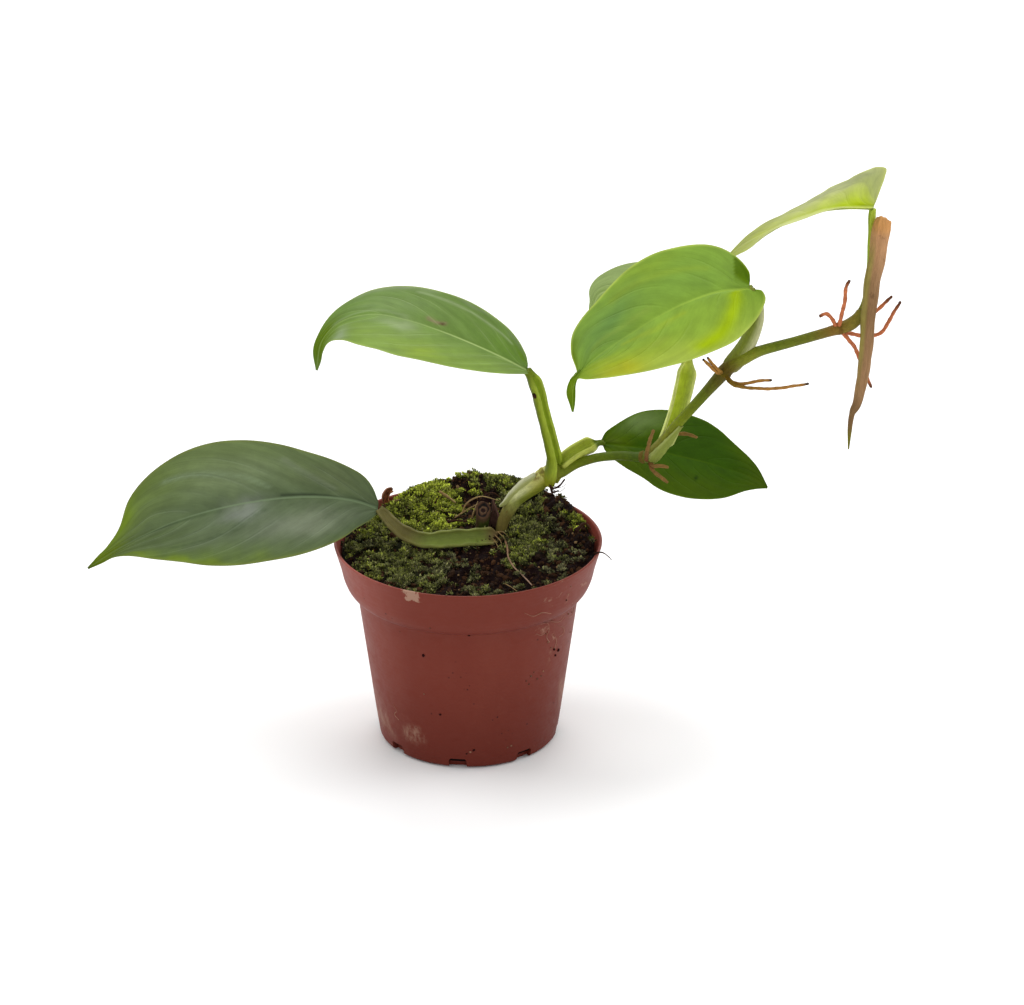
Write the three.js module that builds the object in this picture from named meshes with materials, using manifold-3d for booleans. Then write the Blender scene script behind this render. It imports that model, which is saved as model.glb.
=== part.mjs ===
// A young climbing philodendron in a round plastic nursery pot.
// Millimetres, +Z up. The origin is the middle of the pot's flat underside.
// The plant leans towards +X, and its oldest leaf hangs out over -X.

import * as THREE from 'three';
import { mergeVertices } from 'three/addons/utils/BufferGeometryUtils.js';
import Module from 'manifold-3d';

const wasm = await Module();
wasm.setup();

// Driving dimensions

const GAP = 0.3;
const WIDE_GAP = 0.45;

const POT_HEIGHT = 94;
const POT_WALL = 1.3;
const POT_FLOOR = 2;
const POT_SIDES = 48;
const POT_OUTSIDE = [
  [39.2, 0], [40.2, 1], [41.6, 10], [49.8, 70.6],
  [52.7, 72.2], [54.4, 74.4], [55.9, 78], [57.2, 84], [60.1, POT_HEIGHT],
];
// The collar's step starts at this point of the outline, and its first points sit higher inside
const STEP_FOOT = 3;
const STEP_POINTS = 3;
const STEP_RISE = 1.2;
const DRAIN_COUNT = 8;
const DRAIN_ANGLE = -6.6;
const DRAIN_WIDTH = 7;
const DRAIN_HEIGHT = 3;
const DRAIN_INNER = 35;
const DRAIN_OUTER = 44;

const SOIL_EDGE = 88.5;
const SOIL_RADIUS = 56.3;
const SOIL_RINGS = 9;
const SOIL_SIDES = POT_SIDES;
// Low hills on the soil: x, y, radius, height
const SOIL_HILLS = [
  [0, 46, 26, 12], [-24, 33, 13, 7], [26, 40, 16, 8], [44, 22, 11, 6],
  [14, 4, 15, 5], [-6, 8, 14, 3], [-36, 6, 15, 3], [-18, -34, 16, 1.5],
  [40, -18, 15, 2], [50, 4, 9, 2.5], [4, -46, 20, -1.5], [-2, -14, 12, 1],
];

const STEM_PATH = [
  [13, 3, 70], [13.5, 3, 84], [14.5, 3, 95.5], [16, 3.5, 102], [18.5, 4, 107], [21, 5, 111],
  [25, 6, 114.5], [31, 7, 118.5], [34.5, 7.5, 121.5], [38, 8, 123.5], [42, 8, 124],
  [46, 8, 126], [50, 8, 128], [58, 8, 130.5], [67.5, 6.5, 132], [75.5, 4, 132.5],
  [81, 1.5, 134], [84, 0, 138], [86.5, -0.5, 141.5], [92.5, -1.5, 150.5], [99, -3, 159],
  [105.5, -4, 167.5], [112, -5, 176], [116, -5, 180.5], [121.5, -5, 184], [129, -4, 187],
  [143.5, -1, 190], [158, 2.5, 193], [164.5, 4.5, 194.3], [168, 5, 195.5],
];
// Radius of the stem at each point of its path
const STEM_RADII = [
  2.2, 2.3, 2.5, 2.6, 3, 3.4, 3.8, 4, 4, 4, 2.8, 2.1, 2, 2, 2, 2.2,
  3, 3, 2.6, 2.2, 2.2, 2.4, 3, 3.3, 3, 2.3, 2.1, 2.2, 2.6, 3,
];
const STEM_SIDES = 10;
const STEM_STEPS = 48;

const STUB_PATH = [[6, 6, 84], [6, 6, 95], [6.5, 5, 102.5], [7, 4, 109]];
const STUB_RADIUS = 3;
const BARK_PATH = [[11.6, 6.5, 88], [11.4, 6.5, 96], [12, 6, 105], [11.4, 6, 113]];
const OLD_SHEATH_PATH = [[18.7, 4.1, 107.3], [21, 5, 111], [25, 6, 114.5], [31, 7, 118.5]];
const BUD_SHEATH_PATH = [
  [181, 5, 243.5], [180.3, 4.6, 237.5], [179, 3.7, 227.5], [177.6, 3, 217.5], [176.6, 1.6, 203],
  [175, 0, 182.5], [173, -1, 168], [171.5, -1, 155], [169.5, -1, 138.5],
];
const BUD_SHEATH_RADII = [3.8, 3.5, 3.2, 3.2, 3.1, 2.8, 2.2, 1.6, 0.5];
const BUD_SHEATH_MOUTH = [[181.4, 5.3, 247], [180.3, 4.6, 237.5], [179.3, 3.9, 230]];

// Solids

const point = (p) => new THREE.Vector3(p[0], p[1], p[2]);

const curveThrough = (points) => new THREE.CatmullRomCurve3(points.map(point), false, 'catmullrom', 0.5);

const lerp = THREE.MathUtils.lerp;

// Reads a list of rows [place, value, value, ...] at a place between them
function between(rows, place) {
  let k = 1;
  while (k < rows.length - 1 && rows[k][0] < place) k += 1;
  const [low, high] = [rows[k - 1], rows[k]];
  const share = THREE.MathUtils.clamp((place - low[0]) / (high[0] - low[0]), 0, 1);
  return low.slice(1).map((value, i) => lerp(value, high[i + 1], share));
}

function toGeometry(vertices, faces) {
  const geometry = new THREE.BufferGeometry();
  const flat = vertices.flatMap((v) => [v.x, v.y, v.z]);
  geometry.setAttribute('position', new THREE.Float32BufferAttribute(flat, 3));
  geometry.setIndex(faces.flat());
  return geometry;
}

// Skins a run of rings that all have the outline's number of points, and caps both ends
function loft(rings, firstOutline, lastOutline) {
  const count = rings[0].length;
  const faces = [];
  for (let i = 0; i < rings.length - 1; i += 1) {
    for (let k = 0; k < count; k += 1) {
      const next = (k + 1) % count;
      const [a, b] = [i * count + k, i * count + next];
      faces.push([b, a, a + count], [b, a + count, b + count]);
    }
  }
  const cap = (outline, offset, reverse) => {
    const flat = outline.map(([x, y]) => new THREE.Vector2(x, y));
    for (const [a, b, c] of THREE.ShapeUtils.triangulateShape(flat, [])) {
      const turn = THREE.ShapeUtils.area([flat[a], flat[b], flat[c]]) > 0;
      const face = turn === reverse ? [c, b, a] : [a, b, c];
      faces.push(face.map((index) => index + offset));
    }
  };
  cap(firstOutline, 0, false);
  cap(lastOutline, count * (rings.length - 1), true);
  return toGeometry(rings.flat(), faces);
}

// Moves an outline along a curve. The outline's second coordinate points towards top.
function sweep(curve, steps, outlineAt, top) {
  const rings = [];
  for (let i = 0; i <= steps; i += 1) {
    const share = i / steps;
    const centre = curve.getPointAt(share);
    const along = curve.getTangentAt(share);
    const normal = top.clone().addScaledVector(along, -top.dot(along)).normalize();
    const side = new THREE.Vector3().crossVectors(along, normal);
    rings.push(outlineAt(share).map(([x, y]) => (
      centre.clone().addScaledVector(side, x).addScaledVector(normal, y))));
  }
  return loft(rings, outlineAt(0), outlineAt(1));
}

function circle(radius, sides) {
  return Array.from({ length: sides }, (_, k) => {
    const angle = (2 * Math.PI * k) / sides;
    return [radius * Math.cos(angle), radius * Math.sin(angle)];
  });
}

// A leaf stalk's section: a gutter that opens upwards, or a nearly round one where filled is 1
function gutter(radius, spread, wall, filled) {
  const limit = THREE.MathUtils.degToRad(spread);
  const inner = radius - wall;
  const rise = (radius * (1 + Math.cos(limit))) / 2;
  const outline = [];
  for (let k = 0; k <= 8; k += 1) {
    const angle = lerp(-limit, limit, k / 8);
    outline.push([radius * Math.sin(angle), rise - radius * Math.cos(angle)]);
  }
  for (let k = 0; k <= 4; k += 1) {
    const angle = lerp(limit, -limit, k / 4) * 0.96;
    outline.push([
      lerp(inner * Math.sin(angle), (inner * Math.sin(limit) * angle) / limit, filled),
      rise + lerp(-inner * Math.cos(angle), -inner * Math.cos(limit), filled),
    ]);
  }
  return outline;
}

function toSolid(geometry) {
  const bare = geometry.clone();
  bare.deleteAttribute('normal');
  bare.deleteAttribute('uv');
  const merged = mergeVertices(bare, 1e-4);
  return new wasm.Manifold(new wasm.Mesh({
    numProp: 3,
    vertProperties: Float32Array.from(merged.attributes.position.array),
    triVerts: Uint32Array.from(merged.index.array),
  }));
}

function fromSolid(solid) {
  const { vertProperties, triVerts } = solid.getMesh();
  const geometry = new THREE.BufferGeometry();
  geometry.setAttribute('position', new THREE.BufferAttribute(Float32Array.from(vertProperties), 3));
  geometry.setIndex(Array.from(triVerts));
  return geometry;
}

// The body that is left after the others are cut away, without loose scraps
function trimmed(solid, others) {
  const rest = others.reduce((body, other) => body.subtract(other), solid);
  const pieces = rest.decompose();
  return pieces.reduce((best, piece) => (piece.volume() > best.volume() ? piece : best));
}

const joined = (solids) => solids.reduce((body, other) => body.add(other));

// Pot

// The inner wall from the step to the rim, so far inside the outer one
function potInside(distance) {
  return POT_OUTSIDE.slice(STEP_FOOT).map(([r, z], i) => (
    [r - distance, i < STEP_POINTS ? z + STEP_RISE : z]));
}

function potProfile() {
  const inside = potInside(POT_WALL);
  const profile = [
    [0, 0], ...POT_OUTSIDE, ...inside.reverse(),
    [POT_OUTSIDE[1][0] + 0.15 - POT_WALL, POT_FLOOR], [0, POT_FLOOR],
  ];
  return profile.map(([r, z]) => new THREE.Vector2(r, z));
}

function turned(profile, sides) {
  const geometry = new THREE.LatheGeometry(profile, sides);
  return toSolid(geometry.rotateX(Math.PI / 2));
}

function potSolid() {
  const drains = [];
  for (let k = 0; k < DRAIN_COUNT; k += 1) {
    const length = DRAIN_OUTER - DRAIN_INNER;
    const box = new THREE.BoxGeometry(DRAIN_WIDTH, length, 2 * DRAIN_HEIGHT);
    box.translate(0, -(DRAIN_INNER + DRAIN_OUTER) / 2, 0);
    box.rotateZ(THREE.MathUtils.degToRad(DRAIN_ANGLE + (360 * k) / DRAIN_COUNT));
    drains.push(toSolid(box));
  }
  return trimmed(turned(potProfile(), POT_SIDES), drains);
}

// Soil

function soilTop(x, y) {
  const radius = Math.hypot(x, y);
  const level = SOIL_EDGE + 2.5 * (1 - (radius / 58) ** 2);
  const hills = SOIL_HILLS.reduce((sum, [hx, hy, size, height]) => (
    sum + height * Math.exp(-((x - hx) ** 2 + (y - hy) ** 2) / size ** 2)), 0);
  const crumbs = 0.7 * Math.sin(0.45 * x + 1) * Math.cos(0.52 * y) + 0.5 * Math.sin(0.83 * x - 0.61 * y);
  return level + hills + crumbs;
}

function soilSolid() {
  const wall = potInside(POT_WALL + WIDE_GAP).slice(0, -1).reverse();
  wall.push([POT_OUTSIDE[1][0] - POT_WALL - WIDE_GAP, POT_FLOOR + GAP]);
  const rows = [];
  for (let i = 1; i <= SOIL_RINGS; i += 1) rows.push([(SOIL_RADIUS * i) / SOIL_RINGS, null]);
  rows.push(...wall);
  const vertices = [new THREE.Vector3(0, 0, soilTop(0, 0))];
  for (const [radius, height] of rows) {
    for (let k = 0; k < SOIL_SIDES; k += 1) {
      const angle = (2 * Math.PI * k) / SOIL_SIDES;
      const [x, y] = [radius * Math.cos(angle), radius * Math.sin(angle)];
      vertices.push(new THREE.Vector3(x, y, height === null ? soilTop(x, y) : height));
    }
  }
  const last = vertices.length;
  vertices.push(new THREE.Vector3(0, 0, POT_FLOOR + GAP));
  const faces = [];
  for (let k = 0; k < SOIL_SIDES; k += 1) {
    const next = (k + 1) % SOIL_SIDES;
    faces.push([0, 1 + k, 1 + next]);
    for (let i = 0; i < rows.length - 1; i += 1) {
      const [a, b] = [1 + i * SOIL_SIDES + k, 1 + i * SOIL_SIDES + next];
      faces.push([a, a + SOIL_SIDES, b], [b, a + SOIL_SIDES, b + SOIL_SIDES]);
    }
    faces.push([last, last - SOIL_SIDES + next, last - SOIL_SIDES + k]);
  }
  return toSolid(toGeometry(vertices, faces));
}

// Stem

const stemCurve = curveThrough(STEM_PATH);
// The curve's length up to each point of its path, as a share of the whole
const stemPlaces = STEM_PATH.map((_, i) => {
  const lengths = stemCurve.getLengths(STEM_PATH.length * 20 - 20);
  return lengths[i * 20] / lengths[lengths.length - 1];
});
const stemRadius = (share) => between(stemPlaces.map((place, i) => [place, STEM_RADII[i]]), share)[0];

// The stem between two shares of its length, with so much added to its radius
function stemPiece(extra, from = 0, to = 1, steps = STEM_STEPS) {
  const piece = new THREE.CatmullRomCurve3(Array.from(
    { length: steps + 1 },
    (_, i) => stemCurve.getPointAt(lerp(from, to, i / steps)),
  ), false, 'catmullrom', 0.5);
  const outlineAt = (share) => {
    const place = lerp(from, to, share);
    const closing = place > 0.99 ? 0.8 : 1;
    return circle(stemRadius(place) * closing + extra, STEM_SIDES);
  };
  return toSolid(sweep(piece, steps, outlineAt, new THREE.Vector3(0.2, 1, 0.1)));
}

// A round tapering piece along a list of points, such as a root or a stub
function taper(points, radii, sides, steps, extra = 0) {
  const rows = radii.map((radius, i) => [i / (radii.length - 1), radius + extra]);
  const outlineAt = (share) => circle(between(rows, share)[0], sides);
  return toSolid(sweep(curveThrough(points), steps, outlineAt, new THREE.Vector3(0.3, 1, 0.2)));
}

// Leaf stalks: the rows of shape are place, radius, spread in degrees, wall, filled

const STALKS = {
  petiole_1: {
    path: [
      [13.5, -1.5, 95.6], [9, -4, 96.8], [3, -6, 97.3], [-6.5, -8, 97.6], [-16, -9, 97.2],
      [-21.5, -9, 97.8], [-27.5, -7.5, 99.8], [-32, -5, 102.2], [-36, -1, 105], [-39.5, 2.6, 107.3],
    ],
    top: new THREE.Vector3(0, -0.65, 0.76),
    shape: [
      [0, 4.2, 80, 1.2, 0], [0.12, 4.8, 68, 1.2, 0], [0.45, 4.8, 63, 1.2, 0], [0.7, 4.1, 60, 1.2, 0],
      [0.9, 2.9, 70, 1.2, 0.2], [1, 2, 130, 1, 1],
    ],
  },
  petiole_2: {
    path: [
      [37.9, 6.6, 123.5], [38, 5.5, 130.5], [37.2, 4.5, 135.5], [35.3, 3.5, 144.5], [32.6, 2.5, 156],
      [30.7, 1.5, 165], [28.2, 0.6, 171.8], [26.2, 0, 175.8],
    ],
    top: new THREE.Vector3(1, -0.35, 0.25),
    shape: [
      [0, 4, 125, 1.2, 0], [0.15, 3.7, 118, 1.2, 0], [0.6, 3.6, 112, 1.2, 0], [0.88, 3.9, 105, 1.3, 0],
      [0.94, 2.4, 120, 1.2, 0.7], [1, 1.9, 140, 1, 1],
    ],
  },
  petiole_3: {
    path: [
      [42, 9.8, 126.8], [47.5, 11.5, 130.5], [52, 13, 132.3], [56, 14, 133.7],
      [58.6, 15, 134.4], [60.7, 16, 133.9],
    ],
    top: new THREE.Vector3(-0.3, -0.3, 1),
    shape: [
      [0, 3.6, 110, 1.2, 0], [0.5, 3.4, 108, 1.2, 0], [0.8, 3.2, 105, 1.1, 0], [0.88, 1.8, 120, 1, 0.8],
      [1, 1.5, 140, 1, 1],
    ],
  },
  petiole_4: {
    path: [
      [117.5, -4.6, 181.6], [120, -3.5, 184.8], [123.5, -1.5, 191], [126, 0, 197.5],
      [127, 1, 204], [125.8, 0.4, 211], [123.7, -3, 215.8],
    ],
    top: new THREE.Vector3(0.9, -0.6, 0.2),
    shape: [
      [0, 4.4, 125, 1.2, 0], [0.25, 4.1, 110, 1.3, 0], [0.5, 3.6, 100, 1.2, 0], [0.7, 3, 95, 1.2, 0],
      [0.84, 2, 120, 1.2, 0.7], [1, 1.8, 140, 1, 1],
    ],
  },
  petiole_5: {
    path: [
      [86.3, 3, 137.5], [89.4, 5.4, 144.5], [92.6, 8.8, 153], [94.8, 12.3, 160.5], [96.3, 15.6, 166.5],
      [97.3, 18.5, 172], [98, 21.3, 178.5], [98.7, 23, 181.8],
    ],
    top: new THREE.Vector3(-0.1, -1, 0.3),
    shape: [
      [0, 3.6, 110, 1.2, 0], [0.2, 3.4, 100, 1.2, 0], [0.5, 3.8, 84, 1.2, 0], [0.72, 4, 78, 1.2, 0],
      [0.79, 2.2, 110, 1.2, 0.6], [0.85, 1.7, 140, 1, 1], [1, 1.7, 140, 1, 1],
    ],
  },
  petiole_6: {
    path: [
      [168.6, 5, 195.8], [172.3, 5.4, 198.5], [174.5, 6, 202.5], [175.5, 7, 207.5],
      [176, 8.5, 215], [176.4, 9, 223.5], [176.4, 10, 233.5], [177, 10, 247.9],
    ],
    top: new THREE.Vector3(-1, -0.3, 0.4),
    shape: [
      [0, 3.6, 130, 1.1, 0], [0.12, 2.8, 130, 1.2, 0.4], [0.25, 2, 140, 1, 1], [0.45, 1.3, 140, 0.8, 1],
      [0.8, 1.2, 140, 0.8, 1], [0.92, 1.8, 140, 1, 1], [1, 1.6, 140, 1, 1],
    ],
  },
};

const STALK_STEPS = 12;

function stalk(name, extra = 0) {
  const { path, top, shape } = STALKS[name];
  const outlineAt = (share) => {
    const [radius, spread, wall, filled] = between(shape, share);
    return gutter(radius + extra, spread + 4 * extra, wall + 2 * extra, filled);
  };
  return toSolid(sweep(curveThrough(path), STALK_STEPS, outlineAt, top));
}

// Leaf blades. The edges' points are distance along the midrib and distance out from it.
// tilt turns the blade about the X axis and lean about the Y axis, and fold lifts both halves
// towards each other, in degrees against the share of the midrib's length.

const LEAVES = {
  leaf_1: {
    midrib: [
      [-40, 3, 108], [-52, 2, 112.5], [-69.5, 0, 115], [-89, -2, 114.5], [-109, -4, 111.5],
      [-128, -6, 106.5], [-143, -7, 100], [-156, -8, 93], [-169.5, -10, 84.5],
    ],
    halfWidth: 31,
    tilt: [[0, 39], [1, 39]],
    fold: [[0, 8], [0.5, 4], [1, 0]],
    farEdge: [
      [1, 3.5], [5, 8.5], [11, 13.5], [21, 18], [32, 22], [43, 26.5], [56, 30.5], [70, 32.5],
      [84, 31], [98, 26], [109, 19], [117, 9], [125, 4], [131, 2.4],
    ],
    nearEdge: [
      [0, 3], [4, 9.5], [14, 19], [26, 26], [40, 30], [56, 31], [70, 30],
      [83, 26.5], [95, 20.5], [107, 13.5], [118, 6], [125, 2.6], [131, 1.8],
    ],
  },
  leaf_2: {
    midrib: [
      [26.5, 0, 176], [16.5, -2, 182.5], [2, -4, 190.5], [-12, -5, 197], [-26.5, -6, 202.5],
      [-41, -7, 205.5], [-55, -8, 202.5], [-63.5, -9, 193.5], [-66, -10, 180],
    ],
    halfWidth: 27,
    tilt: [[0, 15], [1, 15]],
    fold: [[0, 10], [0.5, 5], [1, 0]],
    farEdge: [
      [0, 4], [1.5, 9.5], [6, 16.5], [13, 21.5], [25, 25.8], [38, 26.5], [50, 25.5],
      [62, 22.5], [74, 17], [84, 11.5], [93, 7], [101, 4], [109, 2.4],
    ],
    nearEdge: [
      [0, 3.2], [5, 7.5], [13, 13.5], [24, 19.5], [38, 24.5], [52, 27.3], [64, 28.5],
      [75, 26], [84, 20.5], [92, 12], [99, 5], [106, 2.2], [111, 1.6],
    ],
  },
  leaf_3: {
    midrib: [
      [60.5, 16, 134], [70, 18, 132], [81.5, 20, 129.5], [93, 21, 126], [105, 22, 122.5],
      [116, 22, 119], [125.5, 21, 116], [134.5, 20, 110.5],
    ],
    halfWidth: 22,
    tilt: [[0, 31], [1, 31]],
    fold: [[0, 8], [0.5, 4], [1, 0]],
    farEdge: [
      [-1, 1.5], [1.5, 6], [6.5, 10.5], [12, 15], [19, 19.5], [27, 22.5], [35, 23.4], [44, 22.5],
      [51, 19.5], [57, 15.5], [63, 11.5], [69, 7.5], [74, 4],
    ],
    nearEdge: [
      [0, 4], [3, 8.5], [8, 12.5], [15, 16.5], [23, 20], [32, 22], [40, 22.3],
      [48, 20.8], [56, 18], [63, 14], [70, 8], [75, 3.4],
    ],
  },
  leaf_4: {
    midrib: [
      [123.5, -3, 216], [110, -9, 217], [97, -14, 214.5], [84, -18, 209.5], [71, -21, 202],
      [59, -24, 194.5], [51, -26, 188], [46.5, -27, 180.5], [46, -27, 167.5],
    ],
    halfWidth: 28,
    tilt: [[0, 38], [1, 38]],
    lean: -14.5,
    fold: [[0, 6], [0.5, 4], [1, 0]],
    farEdge: [
      [-1.5, 4], [-2.5, 9], [0, 16], [5.5, 21.5], [13, 25.5], [22, 28], [33, 29.4], [44, 28.5],
      [54, 26], [64, 22.7], [72, 20.2], [79, 17], [85, 10], [89, 2.5], [93, 2.8], [98, 3], [102, 1.6],
    ],
    nearEdge: [
      [-2.5, 0.8], [-5, 2], [-5, 6.5], [-1.5, 12], [5, 19], [13, 25], [22, 28.7], [33, 29.3],
      [44, 28], [54, 24.5], [64, 20], [74, 14], [81, 8.2], [86, 2], [91, 0.8], [96, 1.3], [101, 1.2],
    ],
  },
  leaf_5: {
    midrib: [
      [98.7, 23, 181.8], [88.1, 31, 189.1], [78, 37.5, 194.1], [68.7, 41.5, 196.6],
      [62.5, 43, 196.4], [58.5, 42.2, 194.8], [56.2, 39.5, 191.2], [54.8, 36, 186.8],
    ],
    halfWidth: 22,
    tilt: [[0, 24], [0.5, 30], [1, 34]],
    fold: [[0, 6], [0.5, 4], [1, 0]],
    farEdge: [
      [-1, 3], [-2, 8], [1, 13.5], [7, 18.5], [14.5, 21.5], [23, 23], [31, 21.8],
      [38, 17.8], [44, 11.8], [49, 6.3], [53, 2.8], [58, 1.5],
    ],
    nearEdge: [
      [-1, 3], [-2, 8], [1, 13.5], [7, 18.5], [14.5, 21], [23, 21], [31, 19],
      [38, 15.5], [44, 11.5], [49, 7.5], [53, 4.2], [58, 1.8],
    ],
  },
  leaf_6: {
    midrib: [
      [177.2, 10, 249.1], [165.7, 11.2, 248.7], [156.3, 13, 247], [149.9, 14.5, 244.3],
      [143.5, 16.5, 241.2], [137.1, 19, 237.4], [131.2, 21.5, 233], [125.5, 24, 228.7],
      [120.6, 26.5, 224.5], [116, 29, 219], [112.6, 31, 212],
    ],
    halfWidth: 24,
    cup: 0.1,
    tilt: [[0, 7], [0.15, -3], [0.3, -4], [0.45, -3], [0.6, 2], [0.75, 12], [1, 20]],
    fold: [[0, 27], [0.15, 18], [0.3, 9], [0.45, 6], [0.6, 2.5], [0.75, -1], [1, -4]],
    farEdge: [
      [-1, 2.6], [-2.7, 9], [-4.6, 16.8], [-4.5, 21.9], [3.3, 22.1], [13.2, 21.6], [24, 21.4],
      [34.4, 20.5], [44.5, 17.5], [54.4, 14], [63, 9.3], [69.5, 4.4], [75, 2],
    ],
    nearEdge: [
      [0.3, 2.5], [0, 8.2], [0, 13.8], [2.2, 18.2], [8.5, 21.1], [16.1, 23.2], [25.2, 22.7],
      [34.7, 20.2], [44.4, 16.4], [54.3, 12.1], [63.4, 8.5], [70.2, 4.7], [76, 2],
    ],
  },
};

const BLADE = 0.8;
const MIDRIB_DEPTH = 0.9;
const TIP_HALF_WIDTH = 0.45;
const RIB_SWEEP = 1.6;
const BLADE_ROWS = 20;
const BLADE_COLUMNS = [0.4, 0.75, 1];

// The blade's upper face as rows of points from the far edge over the midrib to the near edge
function bladeRows(leaf, spare) {
  const midrib = curveThrough(leaf.midrib);
  const length = midrib.getLength();
  const start = midrib.getPointAt(0);
  const outward = midrib.getTangentAt(0);
  const cup = leaf.cup ?? 0.5;
  const surface = (along, out, side) => {
    const share = THREE.MathUtils.clamp(along / length, 0, 1);
    const foot = along < 0 ? start.clone().addScaledVector(outward, along) : midrib.getPointAt(share);
    const direction = midrib.getTangentAt(share);
    const tilt = THREE.MathUtils.degToRad(between(leaf.tilt, share)[0]);
    const lean = THREE.MathUtils.degToRad(leaf.lean ?? 0);
    const fold = THREE.MathUtils.degToRad(between(leaf.fold, share)[0]);
    const normal = new THREE.Vector3(
      Math.sin(lean), -Math.sin(tilt) * Math.cos(lean), Math.cos(tilt) * Math.cos(lean));
    normal.addScaledVector(direction, -normal.dot(direction)).normalize();
    const across = new THREE.Vector3().crossVectors(direction, normal);
    const lift = out * Math.sin(fold) * (1 - (cup * out) / leaf.halfWidth);
    return foot.addScaledVector(across, side * out * Math.cos(fold)).addScaledVector(normal, lift);
  };
  const farSide = midrib.getTangentAt(0.5).x < 0 ? 1 : -1;
  const edgeCurve = (edge) => curveThrough([...edge, [length, TIP_HALF_WIDTH]].map(([a, b]) => [a, b, 0]));
  const sides = [[edgeCurve(leaf.farEdge), farSide], [edgeCurve(leaf.nearEdge), -farSide]];
  const rows = [];
  for (let i = 0; i < BLADE_ROWS; i += 1) {
    const share = i / (BLADE_ROWS - 1);
    const station = lerp(-spare, length, share);
    const [far, near] = sides.map(([edge, side]) => {
      const margin = edge.getPoint(share);
      return BLADE_COLUMNS.map((f) => surface(
        lerp(station, margin.x - spare * (1 - 2 * share), f ** RIB_SWEEP),
        (Math.max(margin.y, TIP_HALF_WIDTH) + spare) * f, side));
    });
    const middle = surface(station, 0, 1);
    rows.push([...far.reverse(), middle, ...near]);
  }
  return farSide > 0 ? rows : rows.map((row) => row.reverse());
}

// A closed blade of even thickness with a raised midrib below. spare widens it on every side.
function blade(name, spare = 0) {
  const rows = bladeRows(LEAVES[name], spare);
  const columns = rows[0].length;
  const upper = rows.flat();
  const faces = [];
  for (let i = 0; i < rows.length - 1; i += 1) {
    for (let k = 0; k < columns - 1; k += 1) {
      const a = i * columns + k;
      const left = k < (columns - 1) / 2;
      const [b, c, d] = [a + 1, a + columns, a + columns + 1];
      faces.push(...(left ? [[a, c, d], [a, d, b]] : [[a, c, b], [b, c, d]]));
    }
  }
  const top = toGeometry(upper, faces);
  top.computeVertexNormals();
  const normals = top.attributes.normal;
  const lower = upper.map((vertex, index) => {
    const normal = new THREE.Vector3().fromBufferAttribute(normals, index);
    const middle = index % columns === (columns - 1) / 2;
    const ridge = middle ? MIDRIB_DEPTH * (1 - 0.8 * (index / upper.length)) : 0;
    return vertex.clone().addScaledVector(normal, -(BLADE + ridge + spare));
  });
  upper.forEach((vertex, index) => {
    vertex.addScaledVector(new THREE.Vector3().fromBufferAttribute(normals, index), spare);
  });
  const count = upper.length;
  const rim = [];
  for (let k = 0; k < columns - 1; k += 1) rim.push(k);
  for (let i = 0; i < rows.length - 1; i += 1) rim.push(i * columns + columns - 1);
  for (let k = columns - 1; k > 0; k -= 1) rim.push((rows.length - 1) * columns + k);
  for (let i = rows.length - 1; i > 0; i -= 1) rim.push(i * columns);
  const walls = rim.flatMap((a, i) => {
    const b = rim[(i + 1) % rim.length];
    return [[a, b, b + count], [a, b + count, a + count]];
  });
  const under = faces.map(([a, b, c]) => [c + count, b + count, a + count]);
  return toSolid(toGeometry([...upper, ...lower], [...faces, ...under, ...walls]));
}

// Aerial roots: a thin corky ring on the stem from one share of its length to another,
// with the roots of that node growing out of it

const ROOT_RINGS = {
  aerial_roots_a: {
    node: 8, radius: 0.7,
    roots: [
      [[34.8, 7.5, 121.6], [36.3, 2.4, 120], [37.6, 0, 119], [40.5, -1, 120.5], [43.2, 0, 123.5]],
      [[34.8, 7.5, 121.6], [36.8, 3.5, 117.6], [37.8, 2, 116.2], [40.5, 1.5, 117.3]],
    ],
  },
  aerial_roots_b: {
    node: 15.4, radius: 1.1,
    roots: [
      [[77, 3.2, 133], [76.4, -1.5, 134.5], [78, -4.5, 141], [80, -7, 146], [81.5, -8.5, 150.5]],
      [[77.5, 3, 133], [79, -4.5, 133], [86, -8, 139], [93, -9, 145], [101.5, -10, 146]],
      [[77.5, 3, 133], [79, -3, 129.5], [84, -5, 128.5], [89, -6, 132]],
      [[77, 3, 133], [76.5, -1.5, 128.5], [80, -4, 126], [84.5, -4.5, 126.5]],
    ],
  },
  aerial_roots_c: {
    node: 22.2, radius: 1.1,
    roots: [
      [[112.6, -5, 176.8], [110.6, -9.5, 179.5], [108, -10.5, 182.5], [105, -10.5, 186.5]],
      [[112.6, -5, 176.8], [109.5, -10, 179], [106.5, -11.5, 182.5], [103, -11.5, 186]],
      [[112.6, -5, 176.8], [116, -10.5, 175], [121, -12, 174.5], [127, -12.5, 176], [133.5, -12.5, 176.5]],
      [
        [112.6, -5, 176.8], [116, -11.5, 174.3], [122, -14.5, 173.8],
        [133.5, -16, 173.9], [143, -16.5, 175.4], [149.5, -16.5, 176.5],
      ],
    ],
  },
  aerial_roots_d: {
    node: 27.8, radius: 1.1,
    roots: [
      [[163, 4.1, 194], [163.8, 1, 200.5], [165.3, 1.5, 208], [165.8, 3, 214], [167.5, 4, 217]],
      [[162.5, 3.9, 194], [160, 1.5, 199.5], [157.5, 3, 201.5], [154.5, 4, 199.8]],
      [[163, 4.1, 194], [167, 4.5, 189.5], [171, 8, 183], [174, 10, 175], [179, 12, 162.5]],
      [
        [163, 4.1, 194], [168.5, 8.5, 190], [176.5, 12.5, 187],
        [183, 14, 188.5], [187.5, 12, 198], [190.5, 10, 204.5],
      ],
      [[163, 4.1, 194], [168, 10.5, 193], [174, 12.5, 195], [180.5, 13.5, 199], [187, 14, 205.5]],
    ],
  },
};
const RING_LENGTH = 2.4;
const RING_WALL = 1;

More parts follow.
